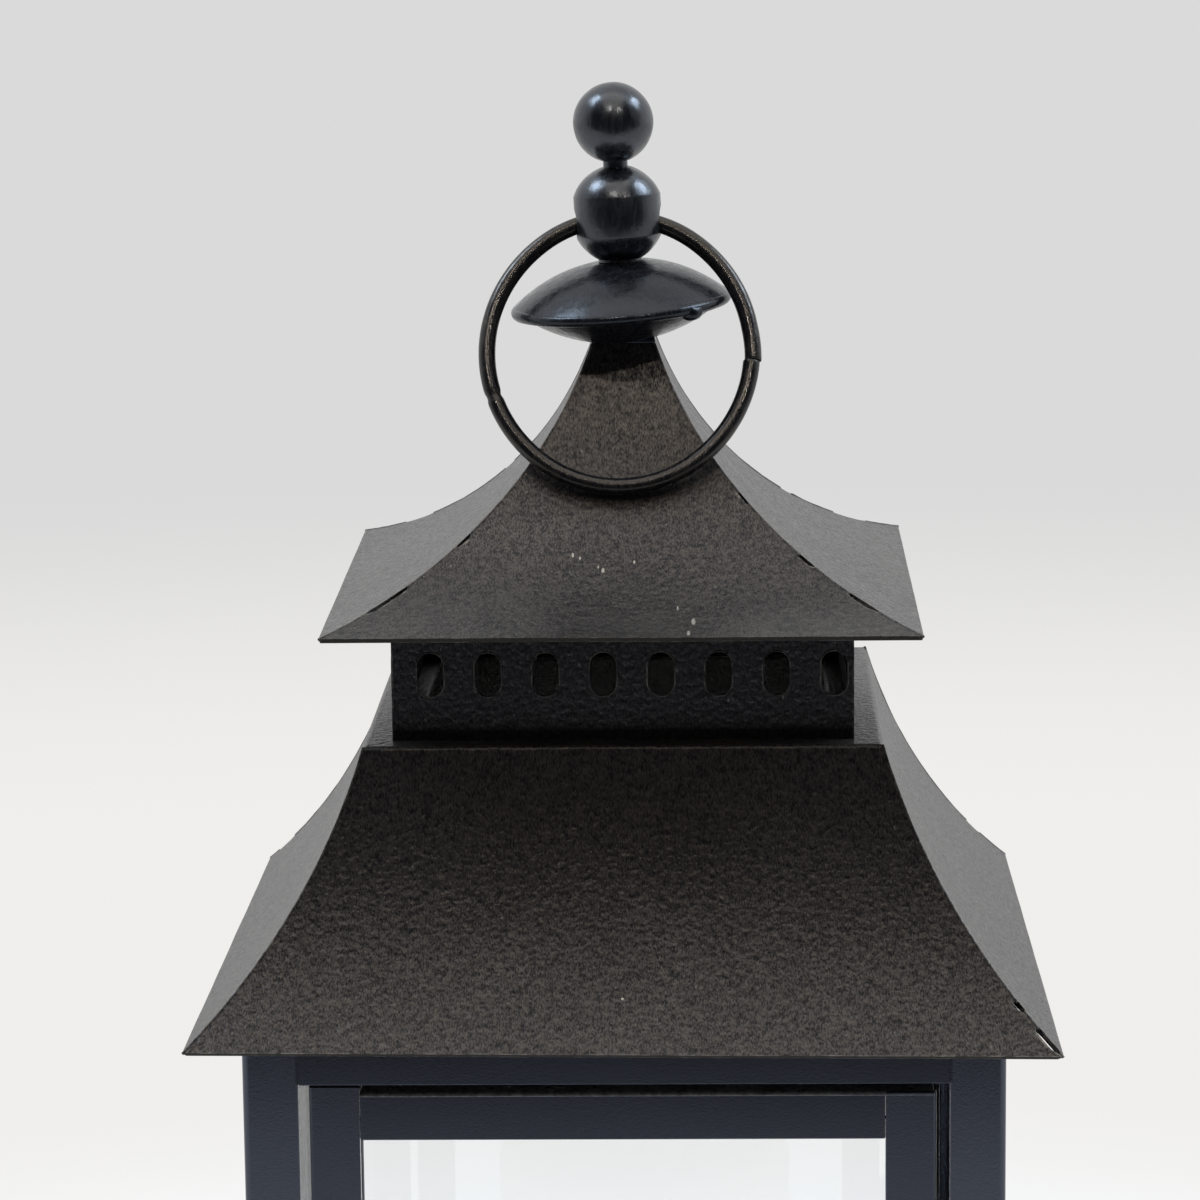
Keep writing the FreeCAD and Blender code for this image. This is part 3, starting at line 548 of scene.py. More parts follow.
@dataclass(frozen=True)
class SatinPaint(Paint):
    """Smoother blue-black coat of the frame, the door and the base."""

    slot: str = "satin_black"
    coat: Colour = (0.0046, 0.0056, 0.0088)
    cloudy: Colour = (0.0070, 0.0084, 0.0122)
    cloud_scale: float = 70.0  # clouds in a metre
    cloud_range: Point2 = (0.35, 0.7)
    sheen: Colour = (0.68, 0.77, 1.0)
    index: float = 1.5  # refraction of the coat
    gloss: float = 0.89
    roughness: Point2 = (0.20, 0.14)  # in a hollow of the orange peel and on its crest
    painted_highlight: float = 0.0  # share of the coat lightened all over, a painted highlight
    painted_highlight_least: float = 0.4  # part of that share where the painted highlight is faintest
    painted_highlight_scale: float = 900.0
    bare: Colour = (0.24, 0.23, 0.22)
    dusty: Colour = (0.11, 0.11, 0.11)
    dust_cloud: float = 18 * MM
    dust_amount: float = 0.14
    wear_reach: float = 0.30 * MM
    wear_patch: float = 4.0 * MM
    wear_share: float = 0.16
    chip_spacing: float = 21 * MM
    chip_size: float = 0.40 * MM
    peel: float = 0.32 * MM
    grit: float = 0.3 * MM
    depth: float = 0.008 * MM

    def make(self, surface: Surface) -> None:
        """Build the coat: orange peel, worn edges, chips, dust and, where its share is set, a patchy painted
        highlight all over.

        Args:
            surface: Empty surface, which changes.
        """
        cloud = surface.speckle(surface.place, self.cloud_scale, detail=4.0)
        cloud = surface.ramp(cloud, *self.cloud_range)
        coat = self.dusted(surface, surface.tint(cloud, self.coat, self.cloudy))
        # Patchy lightening all over is a painted highlight; it is added to the worn edges.
        thin = surface.speckle(surface.place, self.painted_highlight_scale, detail=4.0)
        rubbed = surface.ramp(thin, *NOISE_RANGE, self.painted_highlight_least * self.painted_highlight, self.painted_highlight)
        rubbed = surface.math("ADD", self.worn(surface), rubbed)
        bare = surface.math("MAXIMUM", rubbed, self.chips(surface))
        surface.set(Base_Color=surface.tint(bare, coat, self.bare))
        peel = surface.effect(hammer_relief(), Cell=self.peel, Grit=self.grit)
        surface.set(Roughness=surface.ramp(peel["Tone"], 0.0, 1.0, *self.roughness), IOR=self.index)
        surface.set(Specular_Tint=self.sheen, Specular_IOR_Level=self.gloss)
        surface.bump(peel["Height"], self.depth)


@dataclass(frozen=True)
class FinialPaint(Paint):
    """Glossier black of the turned pieces and the ring, with brushed streaks."""

    slot: str = "finial_black"
    coat: Colour = (0.0040, 0.0046, 0.0068)
    rubbed: Colour = (0.0120, 0.0124, 0.0150)
    sheen: Colour = (0.82, 0.89, 1.0)
    gloss: float = 0.85
    roughness: Point2 = (0.20, 0.36)  # between the streaks and on them
    bare: Colour = (0.20, 0.19, 0.175)
    wear_patch: float = 3.0 * MM
    wear_share: float = 0.4
    streak_height: float = 0.25  # beside the lumps' height of 1
    streak_scale: float = 900.0
    streak_rise: float = 0.28
    streak_tone: Point2 = (0.45, 0.8)
    streak_polish: Point2 = (0.3, 0.75)
    lump: float = 1.3 * MM
    grit: float = 0.8 * MM
    depth: float = 0.10 * MM
    relief: float = 0.45  # share of the depth that shows

    def make(self, surface: Surface) -> None:
        """Build the coat: soft lumps, streaks and rubbed edges.

        Args:
            surface: Empty surface, which changes.
        """
        lumps = surface.effect(hammer_relief(), Cell=self.lump, Grit=self.grit)["Height"]
        tall = surface.upright(self.streak_rise)
        streaks = surface.speckle(tall, self.streak_scale, detail=2.0, distortion=0.6)
        coat = surface.tint(surface.ramp(streaks, *self.streak_tone), self.coat, self.rubbed)
        surface.set(Base_Color=surface.tint(self.worn(surface), coat, self.bare))
        surface.set(Roughness=surface.ramp(streaks, *self.streak_polish, *self.roughness))
        surface.set(Specular_Tint=self.sheen, Specular_IOR_Level=self.gloss)
        height = surface.math("MULTIPLY_ADD", streaks, self.streak_height, lumps)
        surface.bump(height, self.depth, strength=self.relief)


@dataclass(frozen=True)
class ClearGlass(Finish):
    """Thin float glass with a green cast and a few smears."""

    slot: str = "clear_glass"
    cast: Colour = (0.975, 0.984, 0.990)
    shade: Colour = (0.94, 0.965, 0.96)  # what is left of a lamp's light behind it
    index: float = 1.5
    haze: float = 0.012  # roughness of a smear
    smear_scale: float = 60.0
    smear_rise: float = 0.35
    smear_range: Point2 = (0.55, 0.85)

    def make(self, surface: Surface) -> None:
        """Build the glass, which lets the lamps through.

        Args:
            surface: Empty surface, which changes.
        """
        smear = surface.speckle(surface.upright(self.smear_rise), self.smear_scale, detail=5.0)
        surface.set(Base_Color=self.cast, Transmission_Weight=1.0, IOR=self.index, Metallic=0.0)
        surface.set(Roughness=surface.ramp(smear, *self.smear_range, 0.0, self.haze))
        shadow = surface.add("ShaderNodeLightPath").outputs["Is Shadow Ray"]
        surface.blend(shadow, surface.out("ShaderNodeBsdfTransparent", {"Color": self.shade}))


@dataclass(frozen=True)
class ZincSteel(Finish):
    """Zinc-coated steel with a faint spangle."""

    slot: str = "zinc_steel"
    dull: Colour = (0.42, 0.43, 0.45)
    bright: Colour = (0.66, 0.67, 0.69)
    stain: Colour = (0.20, 0.19, 0.18)
    stain_scale: float = 180.0
    stain_range: Point2 = (0.52, 0.75)
    stain_share: float = 0.6
    spangle: float = 3.5 * MM
    scratch_scale: float = 2600.0
    scratch_rise: float = 0.08
    roughness: Point2 = (0.28, 0.46)  # between the scratches and in them
    depth: float = 0.006 * MM

    def make(self, surface: Surface) -> None:
        """Build the metal: spangle, scratches and stains in patches.

        Args:
            surface: Empty surface, which changes.
        """
        feeds = {"Vector": surface.place, "Scale": 1 / self.spangle}
        cells = surface.add("ShaderNodeTexVoronoi", feeds).outputs["Color"]
        metal = surface.tint(surface.out("ShaderNodeSeparateColor", {0: cells}), self.dull, self.bright)
        stain = surface.speckle(surface.place, self.stain_scale, detail=6.0)
        stain = surface.ramp(stain, *self.stain_range, 0.0, self.stain_share)
        surface.set(Base_Color=surface.tint(stain, metal, self.stain), Metallic=1.0)
        scratches = surface.speckle(surface.upright(self.scratch_rise), self.scratch_scale, detail=3.0)
        surface.set(Roughness=surface.ramp(scratches, *NOISE_RANGE, *self.roughness))
        surface.bump(scratches, self.depth)


@dataclass(frozen=True)
class IvoryWax(Finish):
    """Ivory candle wax, mottled and a little translucent."""

    slot: str = "wax"
    pale: Colour = (0.80, 0.74, 0.60)
    deep: Colour = (0.72, 0.63, 0.46)
    scatter: Colour = (1.0, 0.55, 0.28)
    scatter_share: float = 0.35
    scatter_depth: float = 3 * MM
    frost_scale: float = 140.0
    frost_range: Point2 = (0.3, 0.75)
    mottle_scale: float = 420.0
    roughness: Point2 = (0.30, 0.48)
    depth: float = 0.05 * MM

    def make(self, surface: Surface) -> None:
        """Build the wax: frost, mottle and soft light from within.

        Args:
            surface: Empty surface, which changes.
        """
        frost = surface.speckle(surface.place, self.frost_scale, detail=6.0, distortion=0.4)
        surface.set(Base_Color=surface.tint(surface.ramp(frost, *NOISE_RANGE), self.deep, self.pale))
        surface.set(Subsurface_Weight=self.scatter_share, Subsurface_Scale=self.scatter_depth)
        surface.set(Subsurface_Radius=self.scatter)
        surface.set(Roughness=surface.ramp(frost, *self.frost_range, *self.roughness))
        surface.bump(surface.speckle(surface.place, self.mottle_scale, detail=3.0), self.depth)


@dataclass(frozen=True)
class WickCotton(Finish):
    """Waxed cotton, charred towards its tip."""

    slot: str = "wick_cotton"
    cotton: Colour = (0.62, 0.57, 0.47)
    char: Colour = (0.012, 0.010, 0.009)
    char_depth: Point2 = (6 * MM, 0.5 * MM)  # below the tip, where the char starts and where it is full
    char_wander: float = 3 * MM
    fibre_scale: float = 4200.0
    fibre_rise: float = 0.25
    roughness: Point2 = (0.75, 0.95)
    depth: float = 0.12 * MM

    def make(self, surface: Surface) -> None:
        """Build the cotton, with its char between two heights.

        Args:
            surface: Empty surface, which changes.
        """
        _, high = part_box("candle_wick")
        fibre = surface.speckle(surface.upright(self.fibre_rise), self.fibre_scale, detail=3.0)
        wander = surface.math("MULTIPLY_ADD", fibre, self.char_wander, surface.axis(surface.place, "Z"))
        burnt = surface.ramp(wander, *(high.z - depth for depth in self.char_depth))
        surface.set(Base_Color=surface.tint(burnt, self.cotton, self.char))
        surface.set(Roughness=surface.ramp(fibre, 0.0, 1.0, *self.roughness))
        surface.bump(fibre, self.depth)


HAMMERED = HammeredPaint()
# Darker, bluer copy of the coat for the vent walls: painted shade under the upper eave.
COLLAR_PAINTED_SHADE = HammeredPaint(grade="collar", crest=(0.0440, 0.0440, 0.0490))
SATIN = SatinPaint()
# Copies with a higher and a lower index: the posts' stronger reflection is a painted sheen and the rails'
# weaker one painted shade.
POST_PAINTED_SHEEN = SatinPaint(grade="post", index=1.58)
RAIL_PAINTED_SHADE = SatinPaint(grade="rail", index=1.42)
# Satin lightened all over in patches: a painted highlight along the door's top lip, and painted light on its
# shaded top.
SATIN_PAINTED_HIGHLIGHT = SatinPaint(grade="rubbed", painted_highlight=0.85)
FINIAL = FinialPaint()
SAUCER = FinialPaint(grade="saucer", sheen=(0.76, 0.86, 1.0), gloss=0.38)
RING = FinialPaint(
    grade="ring", rubbed=(0.0145, 0.0128, 0.0118), sheen=(1.0, 0.95, 0.90), gloss=0.5, wear_share=0.2
)
GLASS = ClearGlass()
ZINC = ZincSteel()
WAX = IvoryWax()
WICK = WickCotton()

HIP_HOLD = 6.0  # how sharply a panel's waves die out towards its hips
TOP_HOLD = 8.0  # and towards its top
WICK_STRANDS = 3


class GrowthTree(Wiring):
    """Geometry tree with named inputs, which ends in one dressed mesh."""

    def __init__(self, name: str, sizes: Sequence[str], counts: Sequence[str] = (),
                 follows: bool = False) -> None:
        """Open the tree.

        Args:
            name: Name of the tree.
            sizes: Names of its lengths, shares and angles.
            counts: Names of its whole numbers.
            follows: Whether it follows points or a path that it is given.
        """
        tree = bpy.data.node_groups.new(name, "GeometryNodeTree")
        super().__init__(tree)
        kinds = {"Guide": GEOMETRY} if follows else {}
        kinds |= dict.fromkeys(sizes, NUMBER) | dict.fromkeys(counts, "NodeSocketInt")
        for label, kind in {**kinds, "Finish": "NodeSocketMaterial"}.items():
            tree.interface.new_socket(label, in_out="INPUT", socket_type=kind)
        tree.interface.new_socket("Mesh", in_out="OUTPUT", socket_type=GEOMETRY)
        self.given = self.add("NodeGroupInput").outputs

    def close(self, geometry: Socket) -> "GrowthTree":
        """Realize the geometry, dress it, put it out and give the finished tree.

        Args:
            geometry: What the tree has grown.

        Returns:
            The tree itself.
        """
        whole = self.out("GeometryNodeRealizeInstances", {0: geometry})
        dressed = self.out("GeometryNodeSetMaterial", {"Geometry": whole, "Material": self.given["Finish"]})
        self.add("NodeGroupOutput", {0: dressed})
        return self

    def tube(self, path: Socket, thickness: Feed, sides: int) -> Socket:
        """Round wire along a path.

        Args:
            path: The curve.
            thickness: Radius of the wire.
            sides: Corners of its section.

        Returns:
            The wire's mesh, closed at its ends.
        """
        circle = self.out("GeometryNodeCurvePrimitiveCircle", {"Resolution": sides, "Radius": 1.0})
        feeds = {"Curve": path, "Profile Curve": circle, "Scale": thickness, "Fill Caps": True}
        return self.out("GeometryNodeCurveToMesh", feeds)

    def placed(self, x: Feed, y: Feed, z: Feed) -> Socket:
        """Vector from three numbers."""
        return self.out("ShaderNodeCombineXYZ", {0: x, 1: y, 2: z})

    def line(self, steps: Feed) -> tuple[Socket, Socket]:
        """Straight line that is to be bent.

        Args:
            steps: Number of its points.

        Returns:
            The line, and each point's share of the way along it.
        """
        points = self.out("GeometryNodeCurvePrimitiveLine")
        points = self.out("GeometryNodeResampleCurve", {"Curve": points, "Count": steps})
        return points, self.add("GeometryNodeSplineParameter").outputs["Factor"]

    def moved(self, geometry: Socket, place: Socket) -> Socket:
        """Geometry whose points have moved to new places."""
        return self.out("GeometryNodeSetPosition", {"Geometry": geometry, "Position": place})

    def copies(self, points: Socket, geometry: Socket, **feeds: Feed) -> Socket:
        """Copy of a geometry at every point."""
        return self.out("GeometryNodeInstanceOnPoints", {"Points": points, "Instance": geometry, **feeds})

    def round_axis(self, geometry: Socket, count: int) -> Socket:
        """Copies of a geometry in equal turns about the upright axis.

        Args:
            geometry: What is copied.
            count: How many there are.

        Returns:
            The copies.
        """
        points = self.out("GeometryNodeMeshLine", {"Count": count, "Offset": (0.0, 0.0, 0.0)})
        index = self.out("GeometryNodeInputIndex")
        angle = self.times(index, math.tau / count)
        turn = self.out("FunctionNodeAxisAngleToRotation", {"Axis": (0, 0, 1), "Angle": angle})
        return self.copies(points, geometry, Rotation=turn)

    def grow(self, finish: Finish, values: dict[str, float], guide: Mesh | None = None) -> Mesh:
        """Mesh that the tree gives for some sizes.

        Args:
            finish: Finish of the mesh.
            values: Sizes by the input's name.
            guide: Points or path to follow.

        Returns:
            The plain mesh.
        """
        holder = linked("growth", guide or bpy.data.meshes.new("growth"))
        modifier = holder.modifiers.new("growth", "NODES")
        modifier.node_group = self.tree
        inputs = [item for item in self.tree.interface.items_tree if item.in_out == "INPUT"]
        sockets = {item.name: item.identifier for item in inputs}
        for label, value in {**values, "Finish": finish.material()}.items():
            modifier[sockets[label]] = value
        mesh = evaluated_mesh(holder)
        holder.modifiers.remove(modifier)
        bpy.data.objects.remove(holder)
        return mesh


def linked(name: str, data: bpy.types.ID) -> Piece:
    """New object in the scene that shows some data.

    Args:
        name: Name of the object.
        data: What it shows.

    Returns:
        The object.
    """
    holder = bpy.data.objects.new(name, data)
    bpy.context.scene.collection.objects.link(holder)
    return holder


def evaluated_mesh(holder: Piece) -> Mesh:
    """Plain mesh of an object with its modifiers done.

    Args:
        holder: The object.

    Returns:
        The mesh.
    """
    bpy.context.view_layer.update()
    graph = bpy.context.evaluated_depsgraph_get()
    return bpy.data.meshes.new_from_object(holder.evaluated_get(graph), depsgraph=graph)


def roof_point(tree: GrowthTree, angle: Socket, radius: Socket, bend: Socket, lift: Socket
               ) -> tuple[Socket, Socket]:
    """Point of a roof's hollow curve, with its eave bent up.

    Args:
        tree: Tree whose inputs give the centre.
        angle: Angle about the centre.
        radius: Distance from the centre.
        bend: Share of the way from eave to top.
        lift: How far the eave is bent up.

    Returns:
        Its distance from the axis and its height.
    """
    half = tree.math("MULTIPLY_ADD", radius, tree.math("COSINE", angle), tree.given["Centre Half"])
    height = tree.math("MULTIPLY_ADD", radius, tree.math("SINE", angle), tree.given["Centre Height"])
    loose = tree.math("POWER", tree.minus(1.0, bend), 2.0)
    return half, tree.math("MULTIPLY_ADD", lift, loose, height)


@cache
def roof_panel_tree() -> GrowthTree:
    """Mitred sheet bent to an arc, with an optional ledge folded in at its top.

    Returns:
        The tree. Its sheet spans from hip to hip at every height.
    """
    tree = GrowthTree(
        "roof_panel",
        ["Arc Radius", "Sheet", "Centre Half", "Centre Height", "Eave Angle", "Outer Top Angle",
         "Inner Top Angle", "Ledge Inner", "Ledge Share", "Seam", "Wave Height", "Wave Length", "Lift",
         "Twist", "Seed"],
        ["Columns", "Rows"],
    )
    given = tree.given
    feeds = {"Size": (1, 1, 1), "Vertices X": given["Columns"], "Vertices Y": given["Rows"], "Vertices Z": 2}
    block = tree.out("GeometryNodeMeshCube", feeds)
    unit = tree.add("ShaderNodeSeparateXYZ", {0: tree.out("GeometryNodeInputPosition")}).outputs
    across = tree.times(unit["X"], 2.0)
    along = tree.math("ADD", unit["Y"], 0.5)
    inside = tree.minus(0.5, unit["Z"])
    fold_start = tree.minus(1.0, given["Ledge Share"])
    bend = tree.ramp(along, 0.0, fold_start)
    fold = tree.ramp(along, fold_start, 1.0)
    top = tree.between(given["Outer Top Angle"], given["Inner Top Angle"], inside)
    angle = tree.between(given["Eave Angle"], top, bend)

    span = tree.times(across, given["Arc Radius"])
    rise = tree.times(angle, given["Arc Radius"])
    wave_scale = tree.per(given["Wave Length"])
    cloud = tree.speckle(tree.placed(span, rise, given["Seed"]), wave_scale, detail=1.0)
    hip_hold = tree.minus(1.0, tree.math("POWER", tree.math("ABSOLUTE", across), HIP_HOLD))
    top_hold = tree.minus(1.0, tree.math("POWER", bend, TOP_HOLD))
    wave = tree.times(tree.minus(cloud, 0.5), given["Wave Height"])
    wave = tree.times(wave, tree.times(hip_hold, top_hold))
    radius = tree.math("MULTIPLY_ADD", inside, given["Sheet"], given["Arc Radius"])
    radius = tree.minus(radius, wave)
    lift = tree.math("MULTIPLY_ADD", across, given["Twist"], given["Lift"])
    bent_half, height = roof_point(tree, angle, radius, bend, lift)
    half = tree.between(bent_half, given["Ledge Inner"], fold)
    x = tree.times(across, tree.minus(half, given["Seam"]))
    return tree.close(tree.moved(block, tree.placed(x, tree.times(half, -1.0), height)))


@cache
def hip_seam_tree() -> GrowthTree:
    """Uneven bead of weld and paint along a stretch of the front right hip.

    Returns:
        The tree.
    """
    tree = GrowthTree(
        "hip_seam",
        ["Start", "End", "Eave Angle", "Top Angle", "Arc Radius", "Centre Half", "Centre Height", "Lift",
         "Thickness", "Unevenness", "Lump Scale", "Seed"],
        ["Steps"],
    )
    given = tree.given
    line, share = tree.line(given["Steps"])
    bend = tree.between(given["Start"], given["End"], share)
    angle = tree.between(given["Eave Angle"], given["Top Angle"], bend)
    half, height = roof_point(tree, angle, given["Arc Radius"], bend, given["Lift"])
    path = tree.moved(line, tree.placed(half, tree.times(half, -1.0), height))
    lumps = tree.speckle(tree.placed(half, given["Seed"], 0.0), given["Lump Scale"])
    swell = tree.math("MULTIPLY_ADD", tree.minus(lumps, 0.5), given["Unevenness"], 1.0)
    return tree.close(tree.tube(path, tree.times(swell, given["Thickness"]), sides=10))


@cache
def vent_rim_tree() -> GrowthTree:
    """Burr round every vent of the four walls.

    Returns:
        The tree.
    """
    tree = GrowthTree("vent_rims", ["Width", "Height", "Pitch", "Shift", "Middle", "Face", "Burr"], ["Count"])
    given = tree.given
    feeds = {"Width": given["Width"], "Height": given["Height"]}
    outline = tree.out("GeometryNodeCurvePrimitiveQuadrilateral", feeds, mode="RECTANGLE")
    end_radius = tree.math("DIVIDE", given["Width"], 2.0)
    feeds = {"Curve": outline, "Radius": end_radius, "Count": 8, "Limit Radius": True}
    rim = tree.tube(tree.out("GeometryNodeFilletCurve", feeds, mode="POLY"), given["Burr"], sides=8)
    rim = tree.out("GeometryNodeTransform", {"Geometry": rim, "Rotation": (math.pi / 2, 0, 0)})
    last = tree.minus(given["Count"], 1.0)
    left = tree.times(tree.times(last, given["Pitch"]), -0.5)
    start = tree.placed(tree.math("ADD", left, given["Shift"]), given["Face"], given["Middle"])
    step = tree.placed(given["Pitch"], 0.0, 0.0)
    feeds = {"Count": given["Count"], "Start Location": start, "Offset": step}
    row = tree.copies(tree.out("GeometryNodeMeshLine", feeds), rim)
    return tree.close(tree.round_axis(row, len(Side)))


@cache
def ring_wire_tree() -> GrowthTree:
    """Wire along a given path, with a nick in it.

    Returns:
        The tree.
    """
    tree = GrowthTree("ring_wire", ["Wire Radius", "Nick Place", "Nick Width", "Nick Depth"], follows=True)
    given = tree.given
    path = tree.out("GeometryNodeMeshToCurve", {"Mesh": given["Guide"]})
    share = tree.add("GeometryNodeSplineParameter").outputs["Factor"]
    away = tree.math("ABSOLUTE", tree.minus(share, given["Nick Place"]))
    nick = tree.ramp(away, 0.0, given["Nick Width"], given["Nick Depth"], 0.0, smooth=True)
    left = tree.minus(1.0, nick)
    return tree.close(tree.tube(path, tree.times(left, given["Wire Radius"]), sides=28))


@cache
def rivet_tree() -> GrowthTree:
    """Domed rivets at given points: two heads on a shank, tilted together.

    Returns:
        The tree.
    """
    tree = GrowthTree("rivets", ["Head Radius", "Head Height", "Shank Radius", "Grip", "Tilt"], follows=True)
    given = tree.given
    ball = tree.out("GeometryNodeMeshUVSphere", {"Segments": 24, "Rings": 12, "Radius": 1.0})
    size = tree.placed(given["Head Radius"], given["Head Radius"], given["Head Height"])
    join = tree.add("GeometryNodeJoinGeometry")
    for way in (-0.5, 0.5):
        lift = tree.placed(0.0, 0.0, tree.times(given["Grip"], way))
        head = tree.out("GeometryNodeTransform", {"Geometry": ball, "Translation": lift, "Scale": size})
        tree.feed(join.inputs[0], head)
    feeds = {"Vertices": 20, "Radius": given["Shank Radius"], "Depth": given["Grip"]}
    tree.feed(join.inputs[0], tree.out("GeometryNodeMeshCylinder", feeds))
    turn = tree.placed(given["Tilt"], 0.0, 0.0)
    whole = tree.out("GeometryNodeTransform", {"Geometry": join.outputs[0], "Rotation": turn})
    return tree.close(tree.copies(given["Guide"], whole))


@cache
def filler_tree() -> GrowthTree:
    """Flat fillings at given points of the front, repeated on all sides.

    Returns:
        The tree.
    """
    tree = GrowthTree("seam_fillers", ["Width", "Depth", "Height"], follows=True)
    given = tree.given
    size = tree.placed(given["Width"], given["Depth"], given["Height"])
    row = tree.copies(given["Guide"], tree.out("GeometryNodeMeshCube", {"Size": size}))
    return tree.close(tree.round_axis(row, len(Side)))


@cache
def wick_tree() -> GrowthTree:
    """Strands twisted into a wick.

    Returns:
        The tree.
    """
    tree = GrowthTree("wick", ["Foot", "Height", "Twist Radius", "Strand Radius", "Turns"], ["Steps"])
    given = tree.given
    line, share = tree.line(given["Steps"])
    angle = tree.times(tree.times(share, given["Turns"]), math.tau)
    x = tree.times(tree.math("COSINE", angle), given["Twist Radius"])
    y = tree.times(tree.math("SINE", angle), given["Twist Radius"])
    z = tree.math("MULTIPLY_ADD", share, given["Height"], given["Foot"])
    strand = tree.tube(tree.moved(line, tree.placed(x, y, z)), given["Strand Radius"], sides=10)
    return tree.close(tree.round_axis(strand, WICK_STRANDS))


def made_of(shape: bmesh.types.BMesh, name: str) -> Mesh:
    """Mesh of a shape, which is freed.

    Args:
        shape: The shape.
        name: Name of the mesh.

    Returns:
        The mesh.
    """
    mesh = bpy.data.meshes.new(name)
    shape.to_mesh(mesh)
    shape.free()
    return mesh


def guide_mesh(points: Iterable[Vector], joined: bool = False) -> Mesh:
    """Points, or a path through them, for a geometry tree to follow.

    Args:
        points: The points.
        joined: Whether each point is joined to the next.

    Returns:
        The mesh.
    """
    places = [tuple(point) for point in points]
    links = [(index, index + 1) for index in range(len(places) - 1)] if joined else []
    mesh = bpy.data.meshes.new("guide")
    mesh.from_pydata(places, links, [])
    return mesh


def add_piece(name: str, mesh: Mesh, body: Body, finish: Finish,
              stands_for: Sequence[str] = (), edge: float = 0.0) -> Piece:
    """Put a finished mesh on its body.

    Args:
        name: Name of the piece.
        mesh: Its mesh, already in place.
        body: What it rides on.
        finish: Its finish.
        stands_for: Parts that it takes the place of.
        edge: Width of the rounding on its sharp edges.

    Returns:
        The piece.
    """
    mesh.materials.clear()
    mesh.materials.append(finish.material())
    mesh.shade_smooth()
    piece = linked(name, mesh)
    if edge:
        bevel = piece.modifiers.new("edge", "BEVEL")
        bevel.width = edge
        bevel.segments = EDGE_STEPS
        bevel.limit_method = "ANGLE"
        bevel.angle_limit = CREASE
        flat = piece.modifiers.new("flat", "WEIGHTED_NORMAL")
        flat.weight = FACE_WEIGHT
    else:
        mesh.set_sharp_from_angle(angle=CREASE)
    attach(piece, body.value)
    if stands_for:
        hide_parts(*stands_for)
    return piece


def part_mesh(node: str) -> Mesh:
    """Copy of a part's mesh with its triangles joined into whole faces.

    Args:
        node: Name of the part.

    Returns:
        The copy.
    """
    shape = bmesh.new()
    shape.from_mesh(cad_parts[node].data)
    bmesh.ops.remove_doubles(shape, verts=shape.verts, dist=WELD)
    bmesh.ops.dissolve_limit(shape, angle_limit=FLAT, verts=shape.verts, edges=shape.edges)
    mesh = made_of(shape, node)
    if "custom_normal" in mesh.attributes:
        mesh.attributes.remove(mesh.attributes["custom_normal"])
    return mesh


def soften(nodes: Iterable[str], body: Body, finish: Finish, edge: float) -> list[Piece]:
    """Parts with their sharp edges rounded and their own finish."""
    return [add_piece(f"{node}_finished", part_mesh(node), body, finish, [node], edge) for node in nodes]


def arc(middle: Point2, radius: float, start: float, end: float, steps: int) -> list[Point2]:
    """Points along an arc of a profile, from one angle to the other in degrees, with both its ends."""
    angles = [math.radians(start + (end - start) * index / steps) for index in range(steps + 1)]
    return [(middle[0] + radius * math.cos(turn), middle[1] + radius * math.sin(turn)) for turn in angles]


def turned(profile: Sequence[Point2], steps: int = 96) -> Mesh:
    """Closed solid turned about the upright axis.

    Args:
        profile: Radius and height of each corner, round the section or from axis to axis.
        steps: Corners round the axis.

    Returns:
        The mesh, with its faces outwards.
    """
    shape = bmesh.new()
    rings = []
    for radius, height in profile:
        if radius < WELD:
            rings.append([shape.verts.new((0.0, 0.0, height))] * steps)
            continue
        turns = [math.tau * index / steps for index in range(steps)]
        rings.append([shape.verts.new((radius * math.cos(a), radius * math.sin(a), height)) for a in turns])
    on_axis = profile[0][0] < WELD and profile[-1][0] < WELD
    pairs = list(zip(rings, rings[1:])) if on_axis else list(zip(rings, rings[1:] + rings[:1]))
    for low, high in pairs:
        for index in range(steps):
            after = (index + 1) % steps
            corners = dict.fromkeys([low[index], low[after], high[after], high[index]])
            shape.faces.new(list(corners))
    bmesh.ops.recalc_face_normals(shape, faces=shape.faces)
    return made_of(shape, "turned")


def extruded(profile: Sequence[Point2], left: float, right: float) -> Mesh:
    """Solid with one section all along the X axis.

    Args:
        profile: Y and Z of the section's corners.
        left: Where it starts.
        right: Where it ends.

    Returns:
        The mesh, with its faces outwards.
    """
    shape = bmesh.new()
    ends = [[shape.verts.new((x, y, z)) for y, z in profile] for x in (left, right)]
    for end in ends:
        shape.faces.new(end)
    for index in range(len(profile)):
        after = (index + 1) % len(profile)
        shape.faces.new([ends[0][index], ends[0][after], ends[1][after], ends[1][index]])
    bmesh.ops.recalc_face_normals(shape, faces=shape.faces)
    return made_of(shape, "extruded")


def roughen(mesh: Mesh, amount: float, length: float, seed: float) -> None:
    """Push a mesh in and out a little, as handwork does.

    Args:
        mesh: The mesh, which changes.
        amount: Largest push.
        length: Distance between lumps.
        seed: Where the lumps are read.
    """
    shift = Vector((seed, seed, seed))
    normals = [vertex.normal.copy() for vertex in mesh.vertices]
    for vertex, normal in zip(mesh.vertices, normals):
        vertex.co += normal * amount * noise.noise(vertex.co / length + shift)


